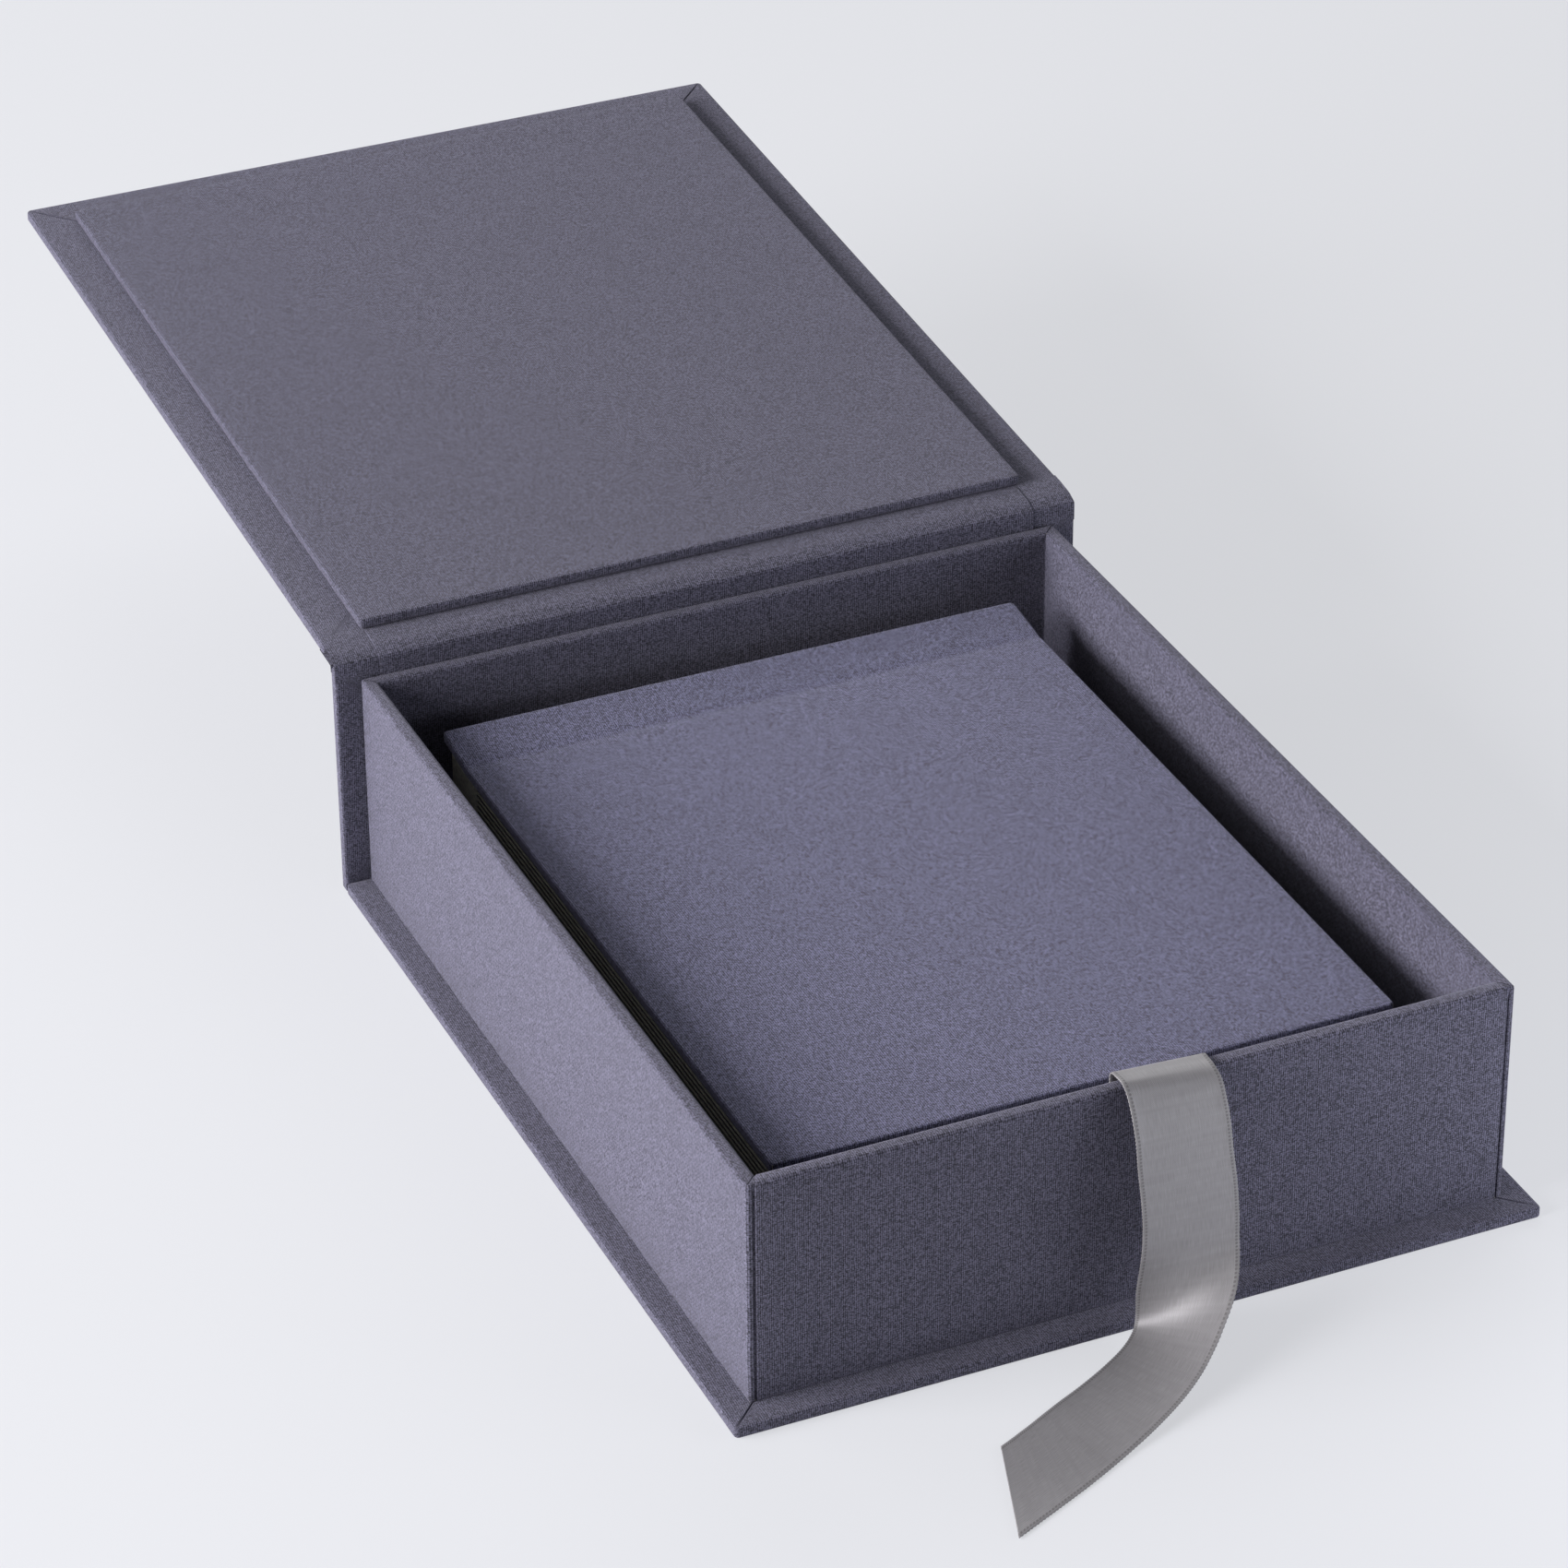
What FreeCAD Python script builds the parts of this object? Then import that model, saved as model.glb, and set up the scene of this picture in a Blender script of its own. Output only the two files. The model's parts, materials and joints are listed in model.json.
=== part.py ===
import FreeCAD, Part
import math
import os
import re
import Sketcher

# A cloth-covered presentation box that opens like a book. A base board carries a four-walled tray
# and a spine board behind it, and a lid with a raised inner panel hangs on a cloth hinge at the top
# of the spine. A satin ribbon runs under an album and over the front wall, and the album, in the
# same cloth, lies in the tray. The box stands open, its lid laid back behind it.
# +X is to the right, +Y to the spine, +Z up. The origin is the centre of the footprint of the
# base and spine, on the surface that the box stands on.

doc = FreeCAD.newDocument("PresentationBox")

# Boards are bare grey board, and what they measure covered is two cloths more. Gaps of the album are
# from its cover to the covered walls, and those of the panel from its cloth to them, lid closed.
SIZES = (
    ("tray_width", 204.0), ("tray_depth", 256.0), ("tray_height", 62.6),
    ("wall_board", 3.2), ("floor_board", 2.3), ("cloth", 0.4), ("turn_in", 15.0),
    ("front_lap", 2.2), ("seam", 0.15), ("seam_depth", 0.15),
    ("case_board", 2.3), ("side_overhang", 6.9), ("front_overhang", 7.9),
    ("board_corner", 2.2), ("edge_round", 0.9), ("tray_corner", 1.4),
    ("lid_clearance", 0.6), ("lid_setback", 1.5), ("lid_tilt", 3.5),
    ("axis_inset", 0.6), ("hinge_gap", 8.0), ("fold_rise", 0.7), ("fold_round", 0.5),
    ("panel_board", 2.4), ("panel_side_gap", 0.6), ("panel_front_gap", 0.4), ("panel_back_gap", 5.8),
    ("lining_side_gap", 1.8), ("lining_drop", 24.0),
    ("album_left_gap", 12.3), ("album_right_gap", 16.0), ("album_front_gap", 18.8),
    ("album_back_gap", 12.7), ("album_headroom", 13.2), ("seat_gap", 0.1),
    ("album_board", 2.0), ("album_strip", 15.5), ("album_joint", 2.5), ("album_rise", 2.1),
    ("album_turn_in", 11.0), ("leaf_inset", 2.4), ("leaf_air", 0.6),
    ("post_width", 5.0), ("post_head_width", 8.0), ("post_head", 0.8), ("post_inset", 30.0),
    ("post_play", 0.15),
    ("ribbon_width", 25.4), ("ribbon_thickness", 0.4), ("ribbon_shift", 6.6), ("ribbon_tuck", 70.0),
    ("ribbon_stand_off", 0.6),
)
ALIASES = [name for name, value in SIZES]

LEAF_COUNT = 24
# Hidden round holes are drawn with this many sides, because every leaf repeats them.
HOLE_SIDES = 8

# The ribbon outside the front wall, station by station from the wall's top to its cut end: place
# across in shares of the ribbon's width, place forward in shares of the front overhang, height in
# shares of the wall's top, and the turn and tilt of its width in degrees.
RIBBON_SHARES = (
    (0.00, -0.20, 1.0290, 0, 4), (0.00, 0.28, 1.0250, 0, 5), (0.01, 0.62, 0.9880, 0, 3),
    (0.01, 0.94, 0.9250, 0, 2), (0.01, 1.22, 0.8450, 0, 0), (0.01, 1.42, 0.7400, 1, 0),
    (0.03, 1.58, 0.6200, 2, 0), (0.04, 1.70, 0.4900, 3, -1), (0.02, 1.82, 0.3700, 7, -4),
    (-0.02, 1.98, 0.2700, 20, -11), (-0.08, 2.22, 0.1900, 38, -17), (-0.17, 2.48, 0.1300, 53, -18),
    (-0.29, 2.82, 0.0880, 63, -15), (-0.48, 3.28, 0.0560, 68, -11), (-0.74, 3.78, 0.0330, 70, -7),
    (-1.06, 4.32, 0.0180, 70, -4), (-1.44, 4.92, 0.0085, 69, -1), (-1.86, 5.60, 0.0065, 68, 0),
    (-2.20, 6.13, 0.0065, 67, 0),
)
# The tail is cut on the slant: its two corners, in shares of the ribbon's width, from the middle.
RIBBON_END_SHARE = 0.465
# The first stations stand as they are, and between the others the curve gets this many steps.
RIBBON_STRAIGHT_COUNT = 3
RIBBON_STEPS = 3

# Places that several pieces share, worked out from the sizes.
CASE = "(case_board + 2 * cloth)"
WALL = "(wall_board + 2 * cloth)"
FRONT = f"(-(front_overhang + tray_depth + cloth + {CASE}) / 2)"
TRAY_Y = f"({FRONT} + front_overhang)"
TRAY_IN_Y = f"({TRAY_Y} + {WALL})"
TRAY_IN_X = f"(tray_width / 2 - {WALL})"
SPINE_Y = f"({TRAY_Y} + tray_depth + cloth)"
CASE_X = "(tray_width / 2 + side_overhang)"
WALL_TOP = f"({CASE} + tray_height)"
FLOOR_TOP = f"({CASE} + floor_board + cloth)"
AXIS_Y = f"({SPINE_Y} + axis_inset)"
AXIS_Z = f"({WALL_TOP} + lid_clearance + {CASE})"
LID_REACH = f"({AXIS_Y} - {FRONT} - lid_setback)"
PANEL_X = f"({TRAY_IN_X} - panel_side_gap)"
PANEL_NEAR = f"(axis_inset + cloth + {WALL} + panel_back_gap)"
PANEL_FAR = f"({AXIS_Y} - {TRAY_IN_Y} - panel_front_gap)"
COVER = "(album_board + 2 * cloth)"
ALBUM_X = f"(album_left_gap - {TRAY_IN_X})"
ALBUM_WIDTH = f"(2 * {TRAY_IN_X} - album_left_gap - album_right_gap)"
ALBUM_Y = f"({TRAY_IN_Y} + album_front_gap)"
ALBUM_END = f"({TRAY_IN_Y} + tray_depth - 2 * {WALL} - album_back_gap)"
ALBUM_Z = f"({FLOOR_TOP} + ribbon_thickness + seat_gap)"
ALBUM_TOP = f"({WALL_TOP} - album_headroom)"
STRIP_Y = f"({ALBUM_END} - album_strip)"
KINK_Y = f"({STRIP_Y} - album_joint)"
RISE = f"(album_rise / ({ALBUM_END} - {KINK_Y}))"
LEAF_PITCH = f"(({ALBUM_TOP} - {ALBUM_Z} - 2 * {COVER}) / {LEAF_COUNT})"
POST_Y = f"({STRIP_Y} + album_strip / 2)"
TILT = "(lid_tilt * 1deg)"


def make_sheet():
    """The driving dimensions, in millimetres, and the lid's tilt in degrees."""
    sheet = doc.addObject("Spreadsheet::Sheet", "sizes")
    for row, (name, value) in enumerate(SIZES, start=1):
        sheet.set(f"A{row}", name)
        sheet.set(f"B{row}", str(value))
        sheet.setAlias(f"B{row}", name)
    doc.recompute()
    return sheet


sizes = make_sheet()


def bound(text):
    """The expression with each size's name pointed at its cell."""
    return re.sub(r"[a-z_]+", lambda word: "sizes." + word.group()
                  if word.group() in ALIASES else word.group(), text)


def number(text):
    """What an expression comes to, in millimetres."""
    return float(sizes.evalExpression(bound(text)))


def lay_back(piece):
    """Lay a piece, drawn closed side up from the hinge axis, on the open lid's slope."""
    piece.Placement = FreeCAD.Placement(
        FreeCAD.Vector(0, 0, 0), FreeCAD.Rotation(FreeCAD.Vector(1, 0, 0), sizes.lid_tilt))
    piece.setExpression("Placement.Base.y", bound(AXIS_Y))
    piece.setExpression("Placement.Base.z", bound(AXIS_Z))
    piece.setExpression("Placement.Rotation.Angle", bound("lid_tilt"))


def outline(body, points, plane, offset):
    """A closed sketch of straight lines on one of the body's own planes, each corner bound."""
    sketch = body.newObject("Sketcher::SketchObject", body.Label + "_outline")
    support = next(f for f in body.Origin.OriginFeatures if f.Role == plane)
    sketch.AttachmentSupport = [(support, "")]
    sketch.MapMode = "FlatFace"
    sketch.setExpression("AttachmentOffset.Base.z", bound(offset))
    corners = [FreeCAD.Vector(number(a), number(b), 0) for a, b in points]
    count = len(corners)
    for side in range(count):
        sketch.addGeometry(Part.LineSegment(corners[side], corners[(side + 1) % count]), False)
    for side, (across, along) in enumerate(points):
        sketch.addConstraint(Sketcher.Constraint("Coincident", side, 2, (side + 1) % count, 1))
        for kind, place, drawn in (("DistanceX", across, corners[side].x),
                                   ("DistanceY", along, corners[side].y)):
            mark = sketch.addConstraint(Sketcher.Constraint(kind, -1, 1, side, 1, drawn))
            sketch.setExpression(f"Constraints[{mark}]", bound(place))
    return sketch


def padded(label, points, plane, offset, length, on_lid=False):
    """A body made of one outline on a plane, padded by a length."""
    body = doc.addObject("PartDesign::Body", label)
    body.Label = label
    pad = body.newObject("PartDesign::Pad", label + "_pad")
    pad.Profile = outline(body, points, plane, offset)
    pad.setExpression("Length", bound(length))
    body.Tip = pad
    if on_lid:
        lay_back(body)
    doc.recompute()
    return body


def slab(label, low, high, on_lid=False):
    """A board, skin or block between two opposite corners, padded up."""
    points = ((low[0], low[1]), (high[0], low[1]), (high[0], high[1]), (low[0], high[1]))
    return padded(label, points, "XY_Plane", low[2], f"({high[2]} - {low[2]})", on_lid)


def profile(label, points, x_low, x_high):
    """A piece of one YZ outline, running across from x_low to x_high."""
    return padded(label, points, "YZ_Plane", x_low, f"({x_high} - {x_low})")


def round_corners(body, radius):
    """Fillet the edges that stand upright in the body's own frame."""
    return fillet(body, radius, lambda low, high, bottom, top: low < (bottom + top) / 2 < high)


def round_rims(body, radius, faces=("bottom", "top")):
    """Fillet the edges round the body's bottom or top face, or both."""
    def chosen(low, high, bottom, top):
        middle = (bottom + top) / 2
        return (high < middle and "bottom" in faces) or (low > middle and "top" in faces)
    return fillet(body, radius, chosen)


def fillet(body, radius, chosen):
    """Fillet the edges whose lowest and highest points, in the body's own frame, are chosen."""
    last = body.Tip
    shape = last.Shape
    names = []
    for place, edge in enumerate(shape.Edges, start=1):
        heights = [vertex.Z for vertex in edge.Vertexes]
        if chosen(min(heights), max(heights), shape.BoundBox.ZMin, shape.BoundBox.ZMax):
            names.append(f"Edge{place}")
    feature = body.newObject("PartDesign::Fillet", body.Label + "_round")
    feature.Base = (last, names)
    feature.setExpression("Radius", bound(radius))
    body.Tip = feature
    doc.recompute()
    return body


def combined(kind, label, base, tool):
    """A boolean of two objects, such as Part::Cut."""
    result = doc.addObject(kind, label)
    result.Label = label
    result.Base = base
    result.Tool = tool
    return result


def cut(label, base, tools):
    """The base with every tool taken away from it."""
    for place, tool in enumerate(tools, start=1):
        name = label if place == len(tools) else f"{label}_step{place}"
        base = combined("Part::Cut", name, base, tool)
    doc.recompute()
    return base


def grown(low, high, by):
    """Two opposite corners, moved outwards."""
    return [f"({a} - {by})" for a in low], [f"({b} + {by})" for b in high]


def mitre(label, corner, inward, low, on_lid):
    """The groove where two turned-in edges meet, from a corner inwards at 45 degrees."""
    x, y = corner
    across, along = inward
    points = ((x, f"({y} + {along} * seam)"), (f"({x} + {across} * seam)", y),
              (f"({x} + {across} * (turn_in + seam))", f"({y} + {along} * turn_in)"),
              (f"({x} + {across} * turn_in)", f"({y} + {along} * (turn_in + seam))"))
    return padded(label, points, "XY_Plane", low, "(2 * seam_depth)", on_lid)


def covered(name, low, high, window_up, mitres=(), on_lid=False):
    """A board between two corners of its cloth, and the cloth, open inside its turned-in edges.

    The window is in the top face or the bottom one, and mitres lists the corners at which the turned-in
    edges meet, as directions from the middle.
    """
    board_low, board_high = grown(low, high, "(-cloth)")
    board = round_corners(slab(name + "_board", board_low, board_high, on_lid), "board_corner")
    block = round_corners(slab(name + "_cloth_block", low, high, on_lid), "(board_corner + cloth)")
    round_rims(block, "edge_round")
    floor, roof = (f"({high[2]} - cloth)", high[2]) if window_up else (low[2], f"({low[2]} + cloth)")
    window_low, window_high = grown(low, high, "(-turn_in)")
    window = slab(name + "_cloth_window", (*window_low[:2], floor), (*window_high[:2], roof), on_lid)
    tools = [board, window]
    for across, along in mitres:
        corner = (high[0] if across > 0 else low[0], high[1] if along > 0 else low[1])
        tools.append(mitre(f"{name}_mitre_{len(tools)}", corner, (-across, -along),
                           f"({high[2]} - seam_depth)", on_lid))
    return [board, cut(name + "_cloth", block, tools)]


def make_case():
    """The base, spine and lid boards in their cloth. Base and spine stand on the table."""
    base = covered("base", (f"(-{CASE_X})", FRONT, "0"), (CASE_X, SPINE_Y, CASE), True,
                   mitres=((-1, -1), (1, -1)))
    lid = covered("lid", (f"(-{CASE_X})", "hinge_gap", "0"), (CASE_X, LID_REACH, CASE), True,
                  mitres=((-1, 1), (1, 1)), on_lid=True)
    panel = covered("lid_panel", (f"(-{PANEL_X})", PANEL_NEAR, CASE),
                    (PANEL_X, PANEL_FAR, f"({CASE} + panel_board + 2 * cloth)"), False, on_lid=True)
    low = (f"(-{CASE_X})", SPINE_Y, "0")
    high = (CASE_X, f"({SPINE_Y} + {CASE})", AXIS_Z)
    board = slab("spine_board", *grown(low, high, "(-cloth)"))
    block = round_rims(slab("spine_cloth_block", low, high), "edge_round")
    window = slab("spine_cloth_window", (f"(turn_in - {CASE_X})", SPINE_Y, CASE),
                  (f"({CASE_X} - turn_in)", f"({SPINE_Y} + cloth)", f"({AXIS_Z} - turn_in)"))
    return base + [board, cut("spine_cloth", block, (board, window))] + lid + panel


def make_tray():
    """Butted wall boards and a floor board, a cloth round sides and back, one over the front."""
    out_x = "(tray_width / 2 - cloth)"
    in_x = f"({out_x} - wall_board)"
    near = f"({TRAY_Y} + cloth)"
    near_in = f"({near} + wall_board)"
    far = f"({TRAY_Y} + tray_depth - cloth)"
    far_in = f"({far} - wall_board)"
    top = f"({WALL_TOP} - cloth)"
    boards = [
        slab("tray_front_board", (f"(-{out_x})", near, CASE), (out_x, near_in, top)),
        slab("tray_back_board", (f"(-{out_x})", far_in, CASE), (out_x, far, top)),
        slab("tray_left_board", (f"(-{out_x})", near_in, CASE), (f"(-{in_x})", far_in, top)),
        slab("tray_right_board", (in_x, near_in, CASE), (out_x, far_in, top)),
        slab("tray_floor_board", (f"(-{in_x})", near_in, CASE), (in_x, far_in,
                                                                f"({CASE} + floor_board)")),
    ]
    block = round_corners(slab("tray_cloth_block", ("(-tray_width / 2)", TRAY_Y, CASE),
                               ("(tray_width / 2)", f"({TRAY_Y} + tray_depth)", WALL_TOP)),
                          "tray_corner")
    hollow = slab("tray_hollow", (f"(-{TRAY_IN_X})", TRAY_IN_Y, CASE),
                  (TRAY_IN_X, f"({TRAY_Y} + tray_depth - {WALL})", f"({WALL_TOP} + cloth)"))
    skin = cut("tray_skin", block, [hollow] + boards)
    lap = "(tray_width / 2 - front_lap)"
    front = slab("tray_front_zone", (f"(-{lap})", TRAY_Y, CASE), (lap, TRAY_IN_Y, WALL_TOP))
    front_and_seams = slab("tray_front_and_seams", (f"(-{lap} - seam)", TRAY_Y, CASE),
                           (f"({lap} + seam)", TRAY_IN_Y, WALL_TOP))
    cloths = [combined("Part::Common", "tray_front_cloth", skin, front),
              combined("Part::Cut", "tray_wall_cloth", skin, front_and_seams)]
    lining = slab("tray_floor_lining", (f"(-{TRAY_IN_X})", TRAY_IN_Y, f"({CASE} + floor_board)"),
                  (TRAY_IN_X, f"({TRAY_Y} + tray_depth - {WALL})", FLOOR_TOP))
    doc.recompute()
    return boards + cloths + [lining]


def on_lid(along, out):
    """The place, in Y and Z, of a point of the open lid: from the axis, and from its outer face."""
    return (f"({AXIS_Y} + {along} * cos({TILT}) - {out} * sin({TILT}))",
            f"({AXIS_Z} + {along} * sin({TILT}) + {out} * cos({TILT}))")


def make_hinge():
    """The outer cloth of the hinge, on the spine's top edge, and the lining strip inside it."""
    spine_back = f"({SPINE_Y} + {CASE})"
    bend = f"({AXIS_Z} + cloth)"
    face = f"({SPINE_Y} - cloth)"
    foot = f"({AXIS_Z} - lining_drop)"
    fold = f"({bend} + fold_rise)"
    skin = f"({CASE} + cloth)"
    outer = ((SPINE_Y, AXIS_Z), (spine_back, AXIS_Z), on_lid("hinge_gap", "0"),
             on_lid("hinge_gap", "cloth"), (spine_back, bend), (SPINE_Y, bend))
    inner = ((face, foot), (SPINE_Y, foot), (SPINE_Y, fold), on_lid("hinge_gap", CASE),
             on_lid(PANEL_NEAR, CASE), on_lid(PANEL_NEAR, skin), on_lid("hinge_gap", skin),
             (face, f"({fold} + cloth)"))
    half = f"({TRAY_IN_X} - lining_side_gap)"
    lining = profile("hinge_lining", inner, f"(-{half})", half)
    for height, radius in ((f"({fold} + cloth)", "(fold_round + cloth)"), (fold, "fold_round")):
        low_limit, high_limit = number(f"({height} - cloth / 4)"), number(f"({height} + cloth / 4)")
        fillet(lining, radius, lambda low, high, bottom, top: low_limit < low and high < high_limit)
    return [profile("hinge_cloth", outer, f"(-{CASE_X})", CASE_X), lining]


def post_x(side):
    """The place across of the left or right binding post."""
    return f"({ALBUM_X} + {ALBUM_WIDTH} / 2 + {side} * ({ALBUM_WIDTH} / 2 - post_inset))"


# The lowest point of the post's top: just under the cloth at the strip's lower side.
POST_TOP = f"({ALBUM_TOP} - cloth + {RISE} * ({POST_Y} - post_head_width / 2 - {KINK_Y}))"
POST_FOOT = f"({ALBUM_Z} + cloth)"


def make_posts():
    """Two screw posts, turned, with a flat head at each end."""
    posts = []
    for name, side in (("left", -1), ("right", 1)):
        body = doc.addObject("PartDesign::Body", f"album_post_{name}")
        body.Label = f"album_post_{name}"
        shaft, head = "(post_width / 2)", "(post_head_width / 2)"
        points = (("0", POST_FOOT), (head, POST_FOOT), (head, f"({POST_FOOT} + post_head)"),
                  (shaft, f"({POST_FOOT} + post_head)"), (shaft, f"({POST_TOP} - post_head)"),
                  (head, f"({POST_TOP} - post_head)"), (head, POST_TOP), ("0", POST_TOP))
        turned = body.newObject("PartDesign::Revolution", body.Label + "_turned")
        turned.Profile = outline(body, points, "XZ_Plane", "0")
        turned.ReferenceAxis = (turned.Profile[0], ["V_Axis"])
        body.Tip = turned
        body.setExpression("Placement.Base.x", bound(post_x(side)))
        body.setExpression("Placement.Base.y", bound(POST_Y))
        posts.append(body)
    doc.recompute()
    return posts


def make_hole_tools():
    """Prisms for the posts' holes, and cylinders for the wells of their heads."""
    holes, wells = [], []
    for side in (-1, 1):
        hole = doc.addObject("Part::Prism", "post_hole")
        hole.Polygon = HOLE_SIDES
        flat = math.cos(math.pi / HOLE_SIDES)
        hole.setExpression("Circumradius", bound(f"((post_width / 2 + post_play) / {flat})"))
        hole.setExpression("Height", bound(f"({WALL_TOP} - {CASE})"))
        hole.setExpression("Placement.Base.z", bound(CASE))
        holes.append(hole)
        for low, high in ((POST_FOOT, f"({POST_FOOT} + post_head)"),
                          (f"({POST_TOP} - post_head)", f"({POST_TOP} + {COVER})")):
            well = doc.addObject("Part::Cylinder", "post_well")
            well.setExpression("Radius", bound("(post_head_width / 2 + post_play)"))
            well.setExpression("Height", bound(f"({high} - {low})"))
            well.setExpression("Placement.Base.z", bound(low))
            wells.append(well)
        for tool in (hole, wells[-1], wells[-2]):
            tool.setExpression("Placement.Base.x", bound(post_x(side)))
            tool.setExpression("Placement.Base.y", bound(POST_Y))
    doc.recompute()
    return holes, wells


def cover_points(y_low, y_high, z_low, z_high, rises):
    """The YZ outline of a layer of a cover, which rises behind the hinge crease if it rises."""
    def lifted(y, z):
        return (y, f"({z} + {RISE} * ({y} - {KINK_Y}))" if rises and y != KINK_Y else z)
    starts_behind = y_low == STRIP_Y
    first = lifted(y_low, z_low) if starts_behind else (y_low, z_low)
    last = lifted(y_low, z_high) if starts_behind else (y_low, z_high)
    crossing = rises and not starts_behind and y_high != KINK_Y
    middle_low = [(KINK_Y, z_low)] if crossing else []
    middle_high = [(KINK_Y, z_high)] if crossing else []
    return [first] + middle_low + [lifted(y_high, z_low), lifted(y_high, z_high)] + middle_high + [last]


def make_cover(name, outer, inner, rises, holes, wells):
    """An album cover: a board, a binding strip, the cloth round both, and the paper inside."""
    up = rises
    skin_out = f"({outer} - cloth)" if up else f"({outer} + cloth)"
    skin_in = f"({inner} + cloth)" if up else f"({inner} - cloth)"
    x_low, x_high = ALBUM_X, f"({ALBUM_X} + {ALBUM_WIDTH})"
    board_x = (f"({x_low} + cloth)", f"({x_high} - cloth)")
    paper_x = (f"({x_low} + album_turn_in)", f"({x_high} - album_turn_in)")
    end = f"({ALBUM_END} - cloth)"

    def layer(label, y_low, y_high, z_a, z_b, sides):
        low, high = (z_a, z_b) if up else (z_b, z_a)
        return profile(label, cover_points(y_low, y_high, low, high, rises), *sides)

    board = layer(f"album_{name}_board", f"({ALBUM_Y} + cloth)", KINK_Y, skin_in, skin_out, board_x)
    blank = layer(f"album_{name}_strip_blank", STRIP_Y, end, skin_in, skin_out, board_x)
    block = layer(f"album_{name}_cloth_block", ALBUM_Y, ALBUM_END, inner, outer, (x_low, x_high))
    paper_y = f"({ALBUM_Y} + album_turn_in)"
    window = layer(f"album_{name}_window", paper_y, end, inner, skin_in, paper_x)
    sheet = layer(f"album_{name}_paper_blank", paper_y, end, inner, skin_in, paper_x)
    return [board, cut(f"album_{name}_strip", blank, holes + wells),
            cut(f"album_{name}_cloth", block, [board, blank, window]),
            cut(f"album_{name}_pastedown", sheet, holes + wells)]


def make_leaves(holes):
    """Black card leaves, each with a thicker guard at the spine that spaces it from the next."""
    bottom = f"({ALBUM_Z} + {COVER})"
    front = f"({ALBUM_Y} + leaf_inset)"
    end = f"({ALBUM_END} - cloth)"
    x_low, x_high = f"({ALBUM_X} + leaf_inset)", f"({ALBUM_X} + {ALBUM_WIDTH} - leaf_inset)"
    leaves = []
    for place in range(LEAF_COUNT):
        low = f"({bottom} + {place} * {LEAF_PITCH})"
        high = f"({low} + {LEAF_PITCH})"
        card = f"({high} - leaf_air)"
        lift = f"({RISE} * ({end} - {KINK_Y}) * {place} / {LEAF_COUNT})"
        next_lift = f"({RISE} * ({end} - {KINK_Y}) * {place + 1} / {LEAF_COUNT})"
        points = ((front, low), (KINK_Y, low), (end, f"({low} + {lift})"),
                  (end, f"({high} + {next_lift})"), (KINK_Y, high), (KINK_Y, card), (front, card))
        label = f"album_leaf_{place + 1:02d}"
        blank = profile(label + "_blank", points, x_low, x_high)
        leaves.append(cut(label, blank, holes))
    return leaves


def make_album():
    """The album: two covers, the leaves between them and the posts that bind them."""
    holes, wells = make_hole_tools()
    back = make_cover("back", ALBUM_Z, f"({ALBUM_Z} + {COVER})", False, holes, wells)
    front = make_cover("front", ALBUM_TOP, f"({ALBUM_TOP} - {COVER})", True, holes, wells)
    return back + make_leaves(holes) + front + make_posts()


def ribbon_stations():
    """The ribbon's stations, from under the album on: a middle point, and its width's turn and tilt."""
    inside = number(f"({TRAY_IN_Y} + ribbon_stand_off)")
    floor = number(f"({FLOOR_TOP} + ribbon_thickness / 2)")
    top = number(WALL_TOP)
    x = sizes.ribbon_shift
    off = sizes.ribbon_stand_off
    stations = [(x, number(f"({TRAY_IN_Y} + ribbon_tuck)"), floor, 0, 0),
                (x, inside + 4 * off, floor, 0, 0),
                (x, inside, floor + 4 * off, 0, 0),
                (x, inside, number(f"({WALL_TOP} - {WALL})"), 0, 2),
                (x, inside - off / 2, top + 2 * off, 0, 3)]
    for across, forward, height, turn, tilt in RIBBON_SHARES:
        stations.append((x + across * sizes.ribbon_width,
                         number(TRAY_Y) - forward * sizes.front_overhang, height * top, turn, tilt))
    return stations


def smoothed(stations, first):
    """The stations from the first on, with more between them on a Catmull-Rom curve."""
    full = stations[:first]
    for stop in range(first, len(stations) - 1):
        before, here = stations[stop - 1], stations[stop]
        there, after = stations[stop + 1], stations[min(stop + 2, len(stations) - 1)]
        for step in range(RIBBON_STEPS):
            t = step / RIBBON_STEPS
            full.append(tuple(
                b + t / 2 * (c - a + t * (2 * a - 5 * b + 4 * c - d + t * (3 * (b - c) + d - a)))
                for a, b, c, d in zip(before, here, there, after)))
    return full + stations[-1:]


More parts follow.
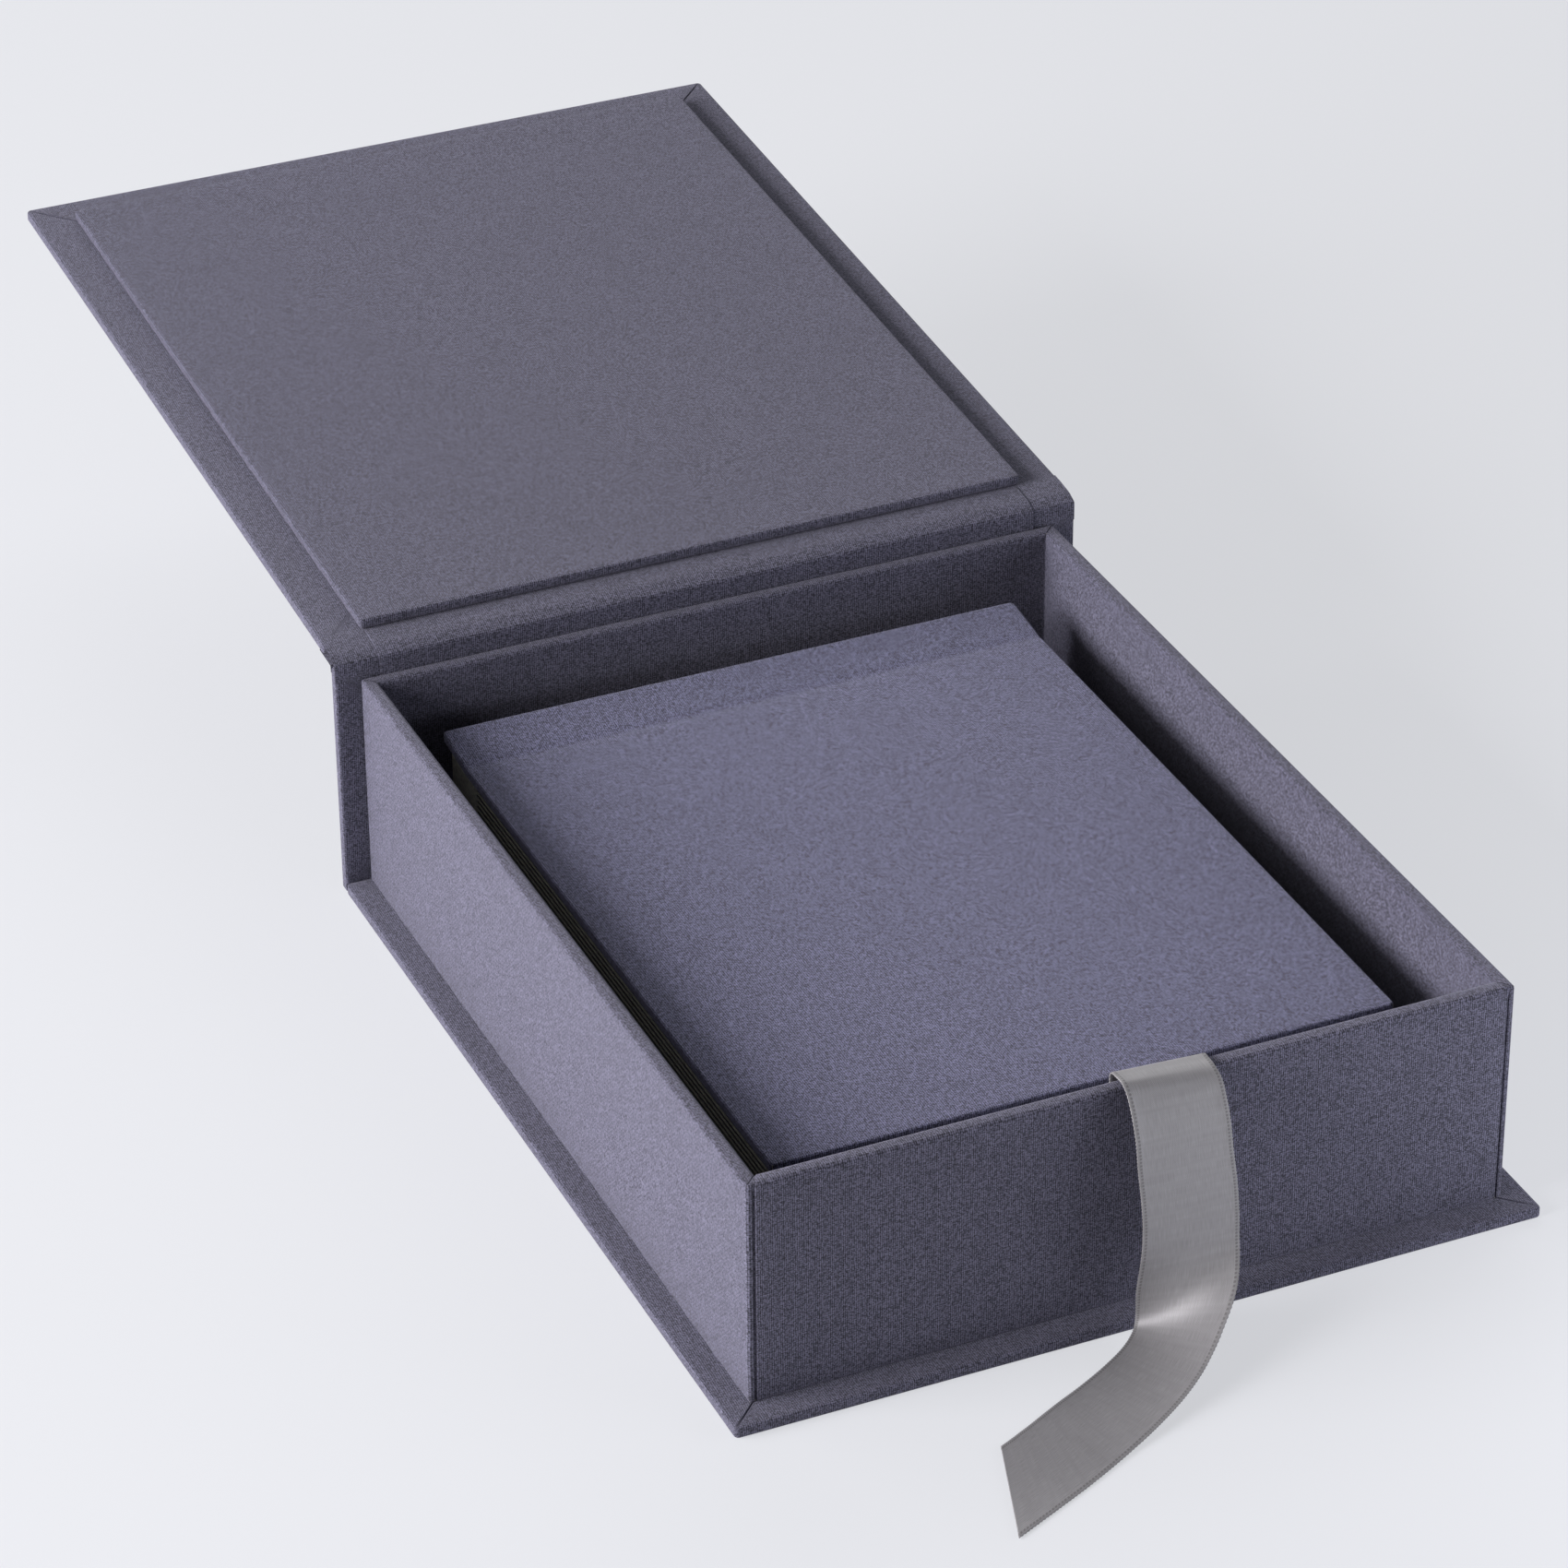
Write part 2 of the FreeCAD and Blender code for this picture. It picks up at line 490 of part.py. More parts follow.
def make_ribbon():
    """The satin ribbon: flat triangles between thin rectangles, one at each station of its route."""
    stations = smoothed(ribbon_stations(), RIBBON_STRAIGHT_COUNT)
    points = [FreeCAD.Vector(*station[:3]) for station in stations]
    half = sizes.ribbon_thickness / 2
    last = len(points) - 1
    sections = []
    for stop, point in enumerate(points):
        along = (points[min(stop + 1, last)] - points[max(stop - 1, 0)]).normalize()
        turn, tilt = (math.radians(angle) for angle in stations[stop][3:])
        across = FreeCAD.Vector(math.cos(turn) * math.cos(tilt), -math.sin(turn) * math.cos(tilt),
                                -math.sin(tilt))
        out = along.cross(across).normalize() * half
        reach = across * (sizes.ribbon_width / 2)
        if stop == last:
            reach += along * (RIBBON_END_SHARE * sizes.ribbon_width)
        sections.append([point - reach - out, point + reach - out,
                         point + reach + out, point - reach + out])
    outlines = [sections[0], sections[-1]]
    for here, there in zip(sections, sections[1:]):
        for side in range(4):
            after = (side + 1) % 4
            outlines.append([here[side], here[after], there[after]])
            outlines.append([here[side], there[after], there[side]])
    faces = [Part.Face(Part.makePolygon(corners + corners[:1])) for corners in outlines]
    solid = Part.Solid(Part.Shell(faces))
    ribbon = doc.addObject("Part::Feature", "lift_ribbon")
    ribbon.Label = "lift_ribbon"
    ribbon.Shape = solid if solid.Volume > 0 else solid.reversed()
    ribbon.Placement = FreeCAD.Placement()
    length = sum(points[stop].distanceToPoint(points[stop - 1]) for stop in range(1, len(points)))
    print(f"ribbon length {length:.1f} mm along its middle, {len(points)} stations")
    return ribbon


def write_pieces(pieces):
    """Check every object and write one file for each piece."""
    for thing in doc.Objects:
        if "Invalid" in thing.State or "Error" in thing.State:
            raise RuntimeError(f"{thing.Label} failed: {thing.State}")
    os.makedirs("parts", exist_ok=True)
    for piece in pieces:
        shape = piece.Shape
        if shape.isNull() or not shape.isValid() or not shape.Solids:
            raise RuntimeError(f"{piece.Label} has no sound solid")
        shape.exportStep(f"parts/{piece.Label}.step")
    print(len(pieces), "pieces written")


write_pieces(make_case() + make_tray() + make_hinge() + make_album() + [make_ribbon()])
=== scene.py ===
import functools
import json
import math

import bmesh
import bpy
import numpy as np
from mathutils import Matrix, Vector


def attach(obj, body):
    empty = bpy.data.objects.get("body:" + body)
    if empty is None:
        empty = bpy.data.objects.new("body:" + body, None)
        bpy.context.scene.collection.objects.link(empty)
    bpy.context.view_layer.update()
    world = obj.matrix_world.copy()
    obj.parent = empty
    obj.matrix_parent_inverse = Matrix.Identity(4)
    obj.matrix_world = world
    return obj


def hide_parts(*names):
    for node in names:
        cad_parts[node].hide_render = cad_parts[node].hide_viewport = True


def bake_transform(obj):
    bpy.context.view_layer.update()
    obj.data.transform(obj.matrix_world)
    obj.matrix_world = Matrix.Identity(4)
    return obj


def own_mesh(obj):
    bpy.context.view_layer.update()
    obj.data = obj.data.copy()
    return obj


bl_info = {
    "name": "Presentation box with album",
    "version": (1, 0, 0),
    "blender": (4, 5, 0),
    "location": "3D View > Sidebar > Box",
    "description": "Cloth-covered box that opens like a book, with a ribbon and an album",
    "category": "Object",
}

# A box that opens like a book: a base with a four-walled tray and a spine, a lid laid back on its
# cloth hinge, a raised panel inside the lid, a satin ribbon over the front wall, and an album.
# +X is to the right, +Y to the spine, +Z up. All lengths are metres.
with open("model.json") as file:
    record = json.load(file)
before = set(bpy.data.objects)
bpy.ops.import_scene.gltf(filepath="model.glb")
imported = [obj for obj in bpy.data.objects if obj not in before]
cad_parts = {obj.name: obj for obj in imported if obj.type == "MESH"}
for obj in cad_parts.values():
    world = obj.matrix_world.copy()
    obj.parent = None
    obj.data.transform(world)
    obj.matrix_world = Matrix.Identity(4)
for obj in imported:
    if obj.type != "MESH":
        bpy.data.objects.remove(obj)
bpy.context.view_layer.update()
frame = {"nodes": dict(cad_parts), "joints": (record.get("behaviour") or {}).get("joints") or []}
MM = 0.001

LID_JOINT = next(joint for joint in frame["joints"] if joint["name"] == "lid_hinge")
AXIS = np.array(LID_JOINT["pos_m"])
TILT = math.radians(180 - LID_JOINT["range_deg"][1])


def laid_back(points):
    """Points drawn on the lid (across, along from the axis, up from its outer face), in place."""
    across, along, up = np.moveaxis(np.asarray(points, float), -1, 0)
    return np.stack((across, AXIS[1] + along * math.cos(TILT) - up * math.sin(TILT),
                     AXIS[2] + along * math.sin(TILT) + up * math.cos(TILT)), axis=-1)


def lid_point(along, up):
    """A point on the lid seen from the side, in place."""
    return laid_back((0, along, up))[1:]


def node_points(node):
    """A CAD node's corners, one row each."""
    vertices = frame["nodes"][node].data.vertices
    flat = np.empty(len(vertices) * 3)
    vertices.foreach_get("co", flat)
    return flat.reshape(-1, 3)


def node_box(node, on_lid=False):
    """The lowest and highest corners of a CAD node, in the box's frame or in the lid's own."""
    points = node_points(node)
    if on_lid:
        away = points - AXIS
        points = np.stack((away[:, 0], away[:, 1] * math.cos(TILT) + away[:, 2] * math.sin(TILT),
                           away[:, 2] * math.cos(TILT) - away[:, 1] * math.sin(TILT)), axis=-1)
    return points.min(0), points.max(0)


BASE = node_box("base_cloth")
SPINE = node_box("spine_cloth")
LID = node_box("lid_cloth", on_lid=True)
PANEL = node_box("lid_panel_cloth", on_lid=True)
WALLS = node_box("tray_wall_cloth")
FLOOR = node_box("tray_floor_lining")
FRONT_CLOTH = node_box("tray_front_cloth")
LINING = node_box("hinge_lining")
FRONT_COVER = node_box("album_front_cloth")
BACK_COVER = node_box("album_back_cloth")
FRONT_BOARD = node_box("album_front_board")
FRONT_STRIP = node_box("album_front_strip")


def length(name, description, default):
    """A length that a user can change."""
    return bpy.props.FloatProperty(name=name, description=description, default=default,
                                   subtype="DISTANCE")


def tint(name, description, default):
    """A colour that a user can change."""
    return bpy.props.FloatVectorProperty(name=name, description=description, default=(*default, 1),
                                         size=4, subtype="COLOR")


class BoxSizes(bpy.types.PropertyGroup):
    """Sizes of the finish that a user would change."""
    cloth: length("Cloth", "Thickness of the book cloth", 0.4 * MM)
    thread: length("Thread pitch", "From one thread of the book cloth to the next", 0.56 * MM)
    edge: length("Edge rounding", "Radius of the cloth round a board's edge", 0.65 * MM)
    corner: length("Corner rounding", "Radius of a board's corner, seen from above", 1.3 * MM)
    turn_in: length("Turn-in", "Width of the cloth's turned-in edge", 15 * MM)
    seam: length("Seam", "Depth of a seam between two edges of cloth", 0.3 * MM)
    ribbon: length("Ribbon width", "Width of the lift ribbon", 25.4 * MM)
    picot: length("Picot pitch", "From one loop of the ribbon's edge to the next", 0.9 * MM)


class BoxColours(bpy.types.PropertyGroup):
    """Colours that a user would change."""
    cloth: tint("Box cloth", "The box's book cloth, its threads blended", (0.090, 0.087, 0.126))
    # The album's cloth is lighter and bluer than the box's: partly a tone of its own, partly painted
    # sheen of the same cloth with its threads turned the other way to the light.
    album_cloth: tint("Album cloth", "The album's cloth, its threads blended", (0.122, 0.122, 0.200))
    satin_dark: tint("Ribbon, dark", "The ribbon's darker threads", (0.160, 0.153, 0.157))
    satin_light: tint("Ribbon, light", "The ribbon's lighter threads", (0.370, 0.361, 0.374))
    board: tint("Board", "Bare grey board", (0.36, 0.35, 0.32))
    card: tint("Card", "Black album card", (0.030, 0.030, 0.024))
    card_edge: tint("Card edge", "The cut edge of the album card", (0.80, 0.78, 0.62))
    floor: tint("Floor", "The pale surface that the box stands on", (0.78, 0.79, 0.825))


class Value:
    """A shader socket that can be written in sums: each step adds one Math node."""

    def __init__(self, finish, socket):
        self.finish = finish
        self.socket = socket

    def maths(self, operation, *others):
        """A Math node of this operation on the value and others."""
        return self.finish.maths(operation, self, *others)

    def __rsub__(self, other):
        return self.finish.maths("SUBTRACT", other, self)


STEPS = {"__add__": "ADD", "__sub__": "SUBTRACT", "__mul__": "MULTIPLY", "__mod__": "FLOORED_MODULO",
         "__abs__": "ABSOLUTE", "floor": "FLOOR", "sine": "SINE", "above": "GREATER_THAN"}
for method, operation in STEPS.items():
    setattr(Value, method, functools.partialmethod(Value.maths, operation))


class Finish:
    """A material under construction."""

    def __init__(self, name):
        self.material = bpy.data.materials.new(name)
        self.material.use_nodes = True
        self.tree = self.material.node_tree
        self.tree.nodes.clear()

    def node(self, kind, settings=(), inputs=(), output=0):
        """A node of this type, its settings set first and then its sockets; gives one output."""
        made = self.tree.nodes.new(kind)
        for key, value in dict(settings).items():
            setattr(made, key, value)
        for key, value in dict(inputs).items():
            if isinstance(value, Value):
                self.tree.links.new(value.socket, made.inputs[key])
            else:
                made.inputs[key].default_value = value
        return Value(self, made.outputs[output]) if made.outputs else None

    def maths(self, operation, *values):
        """A Math node of this operation on the values."""
        return self.node("ShaderNodeMath", {"operation": operation}, dict(enumerate(values)))

    def parts(self, vector):
        """The three numbers of a vector."""
        made = self.tree.nodes.new("ShaderNodeSeparateXYZ")
        self.tree.links.new(vector.socket, made.inputs[0])
        return [Value(self, socket) for socket in made.outputs]

    def place(self, on_threads=False):
        """The place in the box, or on the piece's own map of its threads."""
        if on_threads:
            return self.node("ShaderNodeUVMap", {"uv_map": "threads"})
        return self.node("ShaderNodeTexCoord", output=3)

    def stretched(self, vector, scale):
        """The vector times a scale on each axis."""
        return self.node("ShaderNodeVectorMath", {"operation": "MULTIPLY"}, {0: vector, 1: scale})

    def noise(self, vector, scale, detail=2.0):
        """Soft noise from nought to one, its vector stretched first."""
        inputs = {"Vector": self.stretched(vector, scale), "Scale": 1.0, "Detail": detail}
        return self.node("ShaderNodeTexNoise", {}, inputs)

    def mix(self, factor, low, high):
        """A colour between two colours."""
        return self.node("ShaderNodeMix", {"data_type": "RGBA"}, {0: factor, 6: low, 7: high}, 2)

    def bump(self, height, distance, strength=1.0):
        """A normal from a height of nought to one, which stands for this distance."""
        return self.node("ShaderNodeBump", {},
                         {"Height": height, "Distance": distance, "Strength": strength})

    def surface(self, **sockets):
        """The Principled surface, with its sockets named in words, and the finished material."""
        inputs = {}
        for key, value in sockets.items():
            inputs[key.replace("_", " ").title().replace("Ior", "IOR")] = value
        shader = self.node("ShaderNodeBsdfPrincipled", {}, inputs)
        self.node("ShaderNodeOutputMaterial", {}, {"Surface": shader})
        return self.material


# How dark and light the threads of the book cloth are, in shares of their blend.
DARK_THREAD_SHARE = 0.15
LIGHT_THREAD_SHARE = 1.85
# How far its threads wander, in pitches, and how often in a metre.
WANDER = (0.8, 0.6)
WANDER_SCALE = 90
# Its uneven threads and flecks, in times to the pitch, and its mottle, in times to the metre.
WARP_STREAK_SCALE = (2.6, 0.5, 1.0)
WEFT_STREAK_SCALE = (0.25, 2.6, 1.0)
FLECKS_TO_PITCH = 1.6
MOTTLE_SCALE = 38
# What is left of a thread's height where it dips, and how far the relief stands.
DIP_SHARE = 0.6
RIB_SHARE = 0.7
CLOTH_RELIEF = 0.09 * MM


def shaded(colour, share):
    """The colour times a share, opaque."""
    return tuple(part * share for part in colour[:3]) + (1,)


def book_cloth(name, on_threads=True, colour=None):
    """Fine plain-woven book cloth, which follows the piece's own map or its place in the box."""
    settings = bpy.context.scene.box_sizes
    blend = colour or bpy.context.scene.box_colours.cloth
    finish = Finish(name)
    place = finish.place(on_threads)
    threads = finish.stretched(place, (1 / settings.thread,) * 3)
    wander = finish.noise(place, (WANDER_SCALE,) * 3)
    across, along, _ = finish.parts(threads)
    across = across + wander * WANDER[0]
    along = along + wander * WANDER[1]
    over = (across.floor() + along.floor()) % 2.0
    warp = abs((across * math.pi).sine())
    weft = abs((along * math.pi).sine())
    height = (over * warp * (weft * (1 - DIP_SHARE) + DIP_SHARE)
              + (1 - over) * weft * (warp * (1 - DIP_SHARE) + DIP_SHARE))
    warp_streaks = finish.noise(threads, WARP_STREAK_SCALE, detail=3.0)
    weft_streaks = finish.noise(threads, WEFT_STREAK_SCALE, detail=3.0)
    cell = finish.node("ShaderNodeCombineXYZ", {}, {0: (across * FLECKS_TO_PITCH).floor(),
                                                    1: (along * FLECKS_TO_PITCH).floor()})
    flecks = finish.node("ShaderNodeTexWhiteNoise", {"noise_dimensions": "2D"}, {"Vector": cell})
    mottle = finish.noise(place, (MOTTLE_SCALE,) * 3, detail=3.0)
    ribs = warp * (weft * (1 - RIB_SHARE) + RIB_SHARE)
    shade = (height * 0.4 + ribs * 0.5 + flecks * 0.8 + warp_streaks * 0.8 + weft_streaks * 0.9
             + mottle * 0.05 - 1.40)
    colour = finish.mix(shade, shaded(blend, DARK_THREAD_SHARE), shaded(blend, LIGHT_THREAD_SHARE))
    relief = height * 0.7 + warp_streaks * 0.5 + flecks * 0.3
    return finish.surface(base_color=colour, roughness=0.9, sheen_weight=0.28, sheen_roughness=0.5,
                          sheen_tint=(0.84, 0.82, 1.0, 1), specular_ior_level=0.25,
                          normal=finish.bump(relief, CLOTH_RELIEF, 0.8))


# The satin's twill line, the stitched band from its edge in, and its border.
TWILL_SLANT = 0.55
TWILL_PITCH = 0.38 * MM
STITCHED = (0.65 * MM, 1.25 * MM)
BORDER = 1.20 * MM
FLOAT_SCALE = (5200, 260, 1)
BAND_SCALE = (60, 700, 1)
SATIN_RELIEF = 0.04 * MM


def satin(name):
    """Satin ribbon: lengthwise floats, a slanting twill line and darker loops at both edges."""
    settings, colours = bpy.context.scene.box_sizes, bpy.context.scene.box_colours
    finish = Finish(name)
    place = finish.place(on_threads=True)
    across, along, _ = finish.parts(place)
    floats = finish.noise(place, FLOAT_SCALE)
    slant = abs(((along + across * TWILL_SLANT) * (math.pi / TWILL_PITCH)).sine())
    bands = finish.noise(place, BAND_SCALE)
    from_edge = settings.ribbon / 2 - abs(across)
    stitched = from_edge.above(STITCHED[0]) * (1 - from_edge.above(STITCHED[1]))
    gaps = (along * (2 * math.pi / settings.picot)).sine().above(-0.1)
    border = 1 - from_edge.above(BORDER)
    shade = floats * 0.7 + bands * 0.3 + slant * 0.2 - 0.10 - border * 0.12 - stitched * gaps * 1.3
    colour = finish.mix(shade, colours.satin_dark, colours.satin_light)
    relief = floats * 0.5 + slant * 0.5 - stitched * gaps
    return finish.surface(base_color=colour, roughness=border * 0.1 + 0.52, metallic=0.25,
                          sheen_weight=0.2, sheen_roughness=0.4,
                          normal=finish.bump(relief, SATIN_RELIEF, 0.35))


# How dark the board's specks are, and how far the fibres of board and card stand.
SPECK_SHARE = 0.55
BOARD_RELIEF = 0.1 * MM
CARD_RELIEF = 0.06 * MM


def grey_board(name):
    """Dense grey board: pressed fibres and darker specks."""
    finish = Finish(name)
    place = finish.place()
    fibres = finish.noise(place, (900, 260, 900), detail=4.0)
    specks = finish.noise(place, (1700, 1700, 1700)).above(0.68)
    board = bpy.context.scene.box_colours.board
    colour = finish.mix(fibres * 0.7 + specks * 0.3 - 0.1, board, shaded(board, SPECK_SHARE))
    return finish.surface(base_color=colour, roughness=0.92,
                          normal=finish.bump(fibres, BOARD_RELIEF, 0.5))


def black_card(name):
    """Black album card: a fibrous face and paler cut edges, told apart by which way they face."""
    colours = bpy.context.scene.box_colours
    finish = Finish(name)
    place = finish.place()
    _, _, up = finish.parts(finish.node("ShaderNodeNewGeometry", output=1))
    fibres = finish.noise(place, (1300, 1300, 1300), detail=3.0)
    side = 1 - abs(up).above(0.6)
    colour = finish.mix(side * (fibres * 0.9 + 0.3), colours.card, colours.card_edge)
    return finish.surface(base_color=colour, roughness=0.88, specular_ior_level=0.3,
                          normal=finish.bump(fibres, CARD_RELIEF, 0.5))


def post_metal(name):
    """Satin aluminium of the binding posts, with fine turning lines."""
    finish = Finish(name)
    place = finish.place()
    lines = finish.noise(place, (300, 300, 9000))
    colour = finish.mix(lines, (0.62, 0.62, 0.63, 1), (0.78, 0.78, 0.79, 1))
    return finish.surface(base_color=colour, metallic=1.0, roughness=lines * 0.15 + 0.3)


def finish_named(name, maker):
    """The material of this name, made once. The slots' names belong to the frame's materials."""
    return bpy.data.materials.get(name) or maker(name)


# How finely things are drawn: points on the edges of boards and strips, the turn between the points
# of an arc, and the steps between columns.
ARC_POINTS = 6
RIM_POINTS = 5
ARC_TURN = math.radians(12)
WRAP_STEP = 8 * MM
STRIP_STEP = 6 * MM
HINGE_STEP = 1.5 * MM
# A ring's seam is full at its corner's middle and fades out on both sides, by so much a radian.
SEAM_PEAK = 1.35
SEAM_FALL = 2.6
# Farther out than any ring, so that a column that aims there is held at the ring's corner.
FAR = 9.0
# Rows of the turned-in border, and how far each of its four sides lies askew, in radians.
BORDER_ROWS = 6
BORDER_SKEW = (0.035, -0.025, -0.04, 0.02)
# A wrap's flat grids begin this far inside its corner's arc, and its border's rings are no sharper.
GRID_MARGIN = 1 * MM
LEAST_RADIUS = 0.6 * MM
WELD_DISTANCE = 1e-6
SHARP_ANGLE = math.radians(40)


def points_of(*numbers):
    """Points from their numbers, each given for every point, or for every row or column alone."""
    return np.stack(np.broadcast_arrays(*numbers), axis=-1)


def rounded_path(corners, radii, step):
    """A path through corners, each turned on an arc: the points, and the normals on their left.

    Corners and radii are lists of points (along, up) and of radii. Straight runs get a point about
    each step.
    """
    corners = np.asarray(corners, float)
    stretches = []
    start = corners[0]
    for place in range(1, len(corners)):
        corner = corners[place]
        arc = np.empty((0, 2))
        if place < len(corners) - 1:
            radius = radii[place - 1]
            into, out = corner - corners[place - 1], corners[place + 1] - corner
            into, out = into / np.linalg.norm(into), out / np.linalg.norm(out)
            turn = math.atan2(into[0] * out[1] - into[1] * out[0], into @ out)
            side = np.array((-into[1], into[0])) * math.copysign(1, turn)
            angles = np.linspace(0, abs(turn), max(3, int(abs(turn) / ARC_TURN) + 1))[:, None]
            arc = (corner - into * radius * math.tan(abs(turn) / 2)
                   + side * radius * (1 - np.cos(angles)) + into * radius * np.sin(angles))
        end = arc[0] if len(arc) else corner
        count = max(1, int(np.linalg.norm(end - start) / step))
        run = start + (end - start) * np.linspace(0, 1, count + 1)[:, None]
        stretches += [run if not stretches else run[1:], arc[1:]]
        start = arc[-1] if len(arc) else corner
    points = np.concatenate(stretches)
    tangents = np.gradient(points, axis=0)
    tangents /= np.linalg.norm(tangents, axis=1)[:, None]
    return points, points_of(-tangents[:, 1], tangents[:, 0])


def lengths(points):
    """The distance along a path to each of its points."""
    steps = np.linalg.norm(np.diff(points, axis=0), axis=1)
    return np.concatenate(((0,), np.cumsum(steps)))


def rounded_off(distance, radius):
    """The share of a sheet's thickness at a distance from its edge: a quarter circle up to one."""
    share = np.clip(distance / radius, 0, 1)
    return np.sqrt(np.clip(1 - (1 - share) ** 2, 0, 1))


def spread(low, high, step, extra=()):
    """Even places between two ends, about a step apart, with extra ones."""
    even = np.linspace(low, high, max(2, int((high - low) / step)) + 1)[1:-1]
    return np.unique(np.concatenate((even, [place for place in extra if low < place < high])))


def columns_round(xs, ys):
    """The columns of a ring round a rectangle, from the right side on: where each one aims, the
    direction of its corner's arc, the weight of its seam, and the side of each face."""
    angles = np.linspace(0, math.pi / 2, ARC_POINTS + 1)
    weight = np.clip(SEAM_PEAK - abs(angles - math.pi / 4) * SEAM_FALL, 0, 1)
    aims, ways, seams, sides = [], [], [], []
    for side, samples in enumerate((ys, xs[::-1], ys[::-1], xs)):
        fixed = np.full(len(samples), FAR)
        straight = ((fixed, samples), (samples, fixed), (-fixed, samples), (samples, -fixed))[side]
        aims.append(points_of(*straight))
        ways.append(np.full(len(samples), side * math.pi / 2))
        seams.append(np.zeros((len(samples), 4)))
        corner = ((1, 1), (-1, 1), (-1, -1), (1, -1))[side]
        aims.append(np.tile(np.array(corner) * FAR, (len(angles), 1)))
        ways.append(side * math.pi / 2 + angles)
        own = np.zeros((len(angles), 4))
        own[:, side] = weight
        seams.append(own)
        sides.append(np.full(len(samples) + ARC_POINTS // 2, side))
        sides.append(np.full(len(angles) - ARC_POINTS // 2, (side + 1) % 4))
    aims, ways, seams = np.concatenate(aims), np.concatenate(ways), np.concatenate(seams)
    return (np.concatenate((aims, aims[:1])), np.concatenate((ways, ways[:1])),
            np.concatenate((seams, seams[:1])), np.concatenate(sides))


def rings(half, corner, columns, out, least):
    """Rounded rectangles, one row for each offset out from the rectangle of half sizes.

    A point is its column's aim, held inside the corner centres, plus the corner radius times the
    column's direction. The radius is the corner's plus the offset, and not under the least.
    """
    aims, ways, _, _ = columns
    out = np.asarray(out, float)[:, None]
    radius = np.maximum(corner + out, np.asarray(least, float)[:, None])
    x_limit, y_limit = half[0] + out - radius, half[1] + out - radius
    return points_of(np.clip(aims[:, 0], -x_limit, x_limit) + radius * np.cos(ways),
                    np.clip(aims[:, 1], -y_limit, y_limit) + radius * np.sin(ways))


def wrapped_board(low, high, turn_in, window_up, seams=(0, 0, 0, 0), corner=None, extra_y=(),
                  shift=None, foot=None):
    """The cloth round a board, as a closed skin: its outer face, its edges and its turned-in border.

    The band round the board is a profile carried round rounded rectangles, each point of it an
    offset out and a height from the full face, and two grids close that face outside and inside.
    The map is the cloth laid flat. Seams are the share of a seam at each corner, extra_y more places
    along for rows, shift gives a height to add at each place along, and foot is the radius of the
    edge beside the border.
    """
    settings = bpy.context.scene.box_sizes
    cloth, edge = settings.cloth, settings.edge
    corner = settings.corner if corner is None else corner
    foot = edge if foot is None else foot
    low, high = np.asarray(low, float), np.asarray(high, float)
    middle, half, thick = (low + high) / 2, (high - low) / 2, high[2] - low[2]
    angles = np.linspace(0, math.pi / 2, ARC_POINTS)
    reach = corner + GRID_MARGIN
    out = np.concatenate(((-reach,), edge * (np.sin(angles) - 1), foot * (np.cos(angles) - 1),
                          np.linspace(-foot, -turn_in, BORDER_ROWS + 1)[1:],
                          (-turn_in, -cloth, -cloth, -reach)))
    up = np.concatenate(((0,), edge * (1 - np.cos(angles)), thick - foot * (1 - np.sin(angles)),
                         np.full(BORDER_ROWS, thick), (thick - cloth, thick - cloth, cloth, cloth)))
    first = 1 + 2 * ARC_POINTS
    border = slice(first, first + BORDER_ROWS)
    least = np.zeros(len(out))
    least[border] = LEAST_RADIUS
    run = lengths(points_of(out, up)) - reach
    xs = spread(-half[0], half[0], WRAP_STEP)
    ys = spread(-half[1], half[1], WRAP_STEP, [y - middle[1] for y in extra_y])
    columns = columns_round(xs, ys)
    plan = rings(half, corner, columns, out, least)
    height = np.repeat(up[:, None], plan.shape[1], axis=1)
    height[border] -= columns[2] @ np.asarray(seams, float) * settings.seam
    flat = rings(half, corner, columns, run, np.zeros(len(run)))
    turned = np.zeros((len(out) - 1, len(columns[3])))
    turned[first - 1:] = np.array(BORDER_SKEW)[columns[3]]
    grid = np.stack(np.meshgrid(*(np.concatenate(((-end,), np.clip(places, -end, end), (end,)))
                                  for places, end in zip((xs, ys), half[:2] - reach))), axis=-1)
    placed = []
    for plane, rise, plane_map, skew in ((plan, height, flat, turned), (grid, 0, grid, None),
                                         (grid, cloth, grid, None)):
        plane = plane + middle[:2]
        up = low[2] + rise if window_up else high[2] - rise
        if shift is not None:
            up = up + shift(plane[..., 1])
        placed.append((points_of(plane[..., 0], plane[..., 1], up), plane_map + middle[:2], skew))
    return placed


def skin(centre, normal, above, below, flat):
    """A sheet as two surfaces that meet where its thickness ends: centre, plus or minus the normal
    times the thickness above or below."""
    return [(centre + normal * above[..., None], flat, None),
            (centre - normal * below[..., None], flat, None)]


def strip_across(path, normals, half_widths, above, below, edge):
    """A sheet that keeps one path, seen from the side, and runs across to its half width each way.

    The path is in Y and Z. Its two long sides and its two ends are rounded off by the edge.
    """
    run = lengths(path)
    along_share = rounded_off(np.minimum(run, run[-1] - run), edge)
    widest = max(half_widths)
    inner = spread(-widest, widest, STRIP_STEP)
    rim = edge * (1 - np.cos(np.linspace(0, math.pi / 2, RIM_POINTS)))
    inner = inner[abs(inner) < widest - edge]
    across = np.unique(np.concatenate((-widest + rim, inner, widest - rim)))
    x = across * (np.asarray(half_widths) / widest)[:, None]
    centre = points_of(x, path[:, :1], path[:, 1:])
    normal = points_of(np.zeros_like(x), normals[:, :1], normals[:, 1:])
    thickness = along_share[:, None] * rounded_off(widest - abs(across), edge)
    flat = points_of(x, run[:, None])
    return skin(centre, normal, above * thickness, below * thickness, flat)


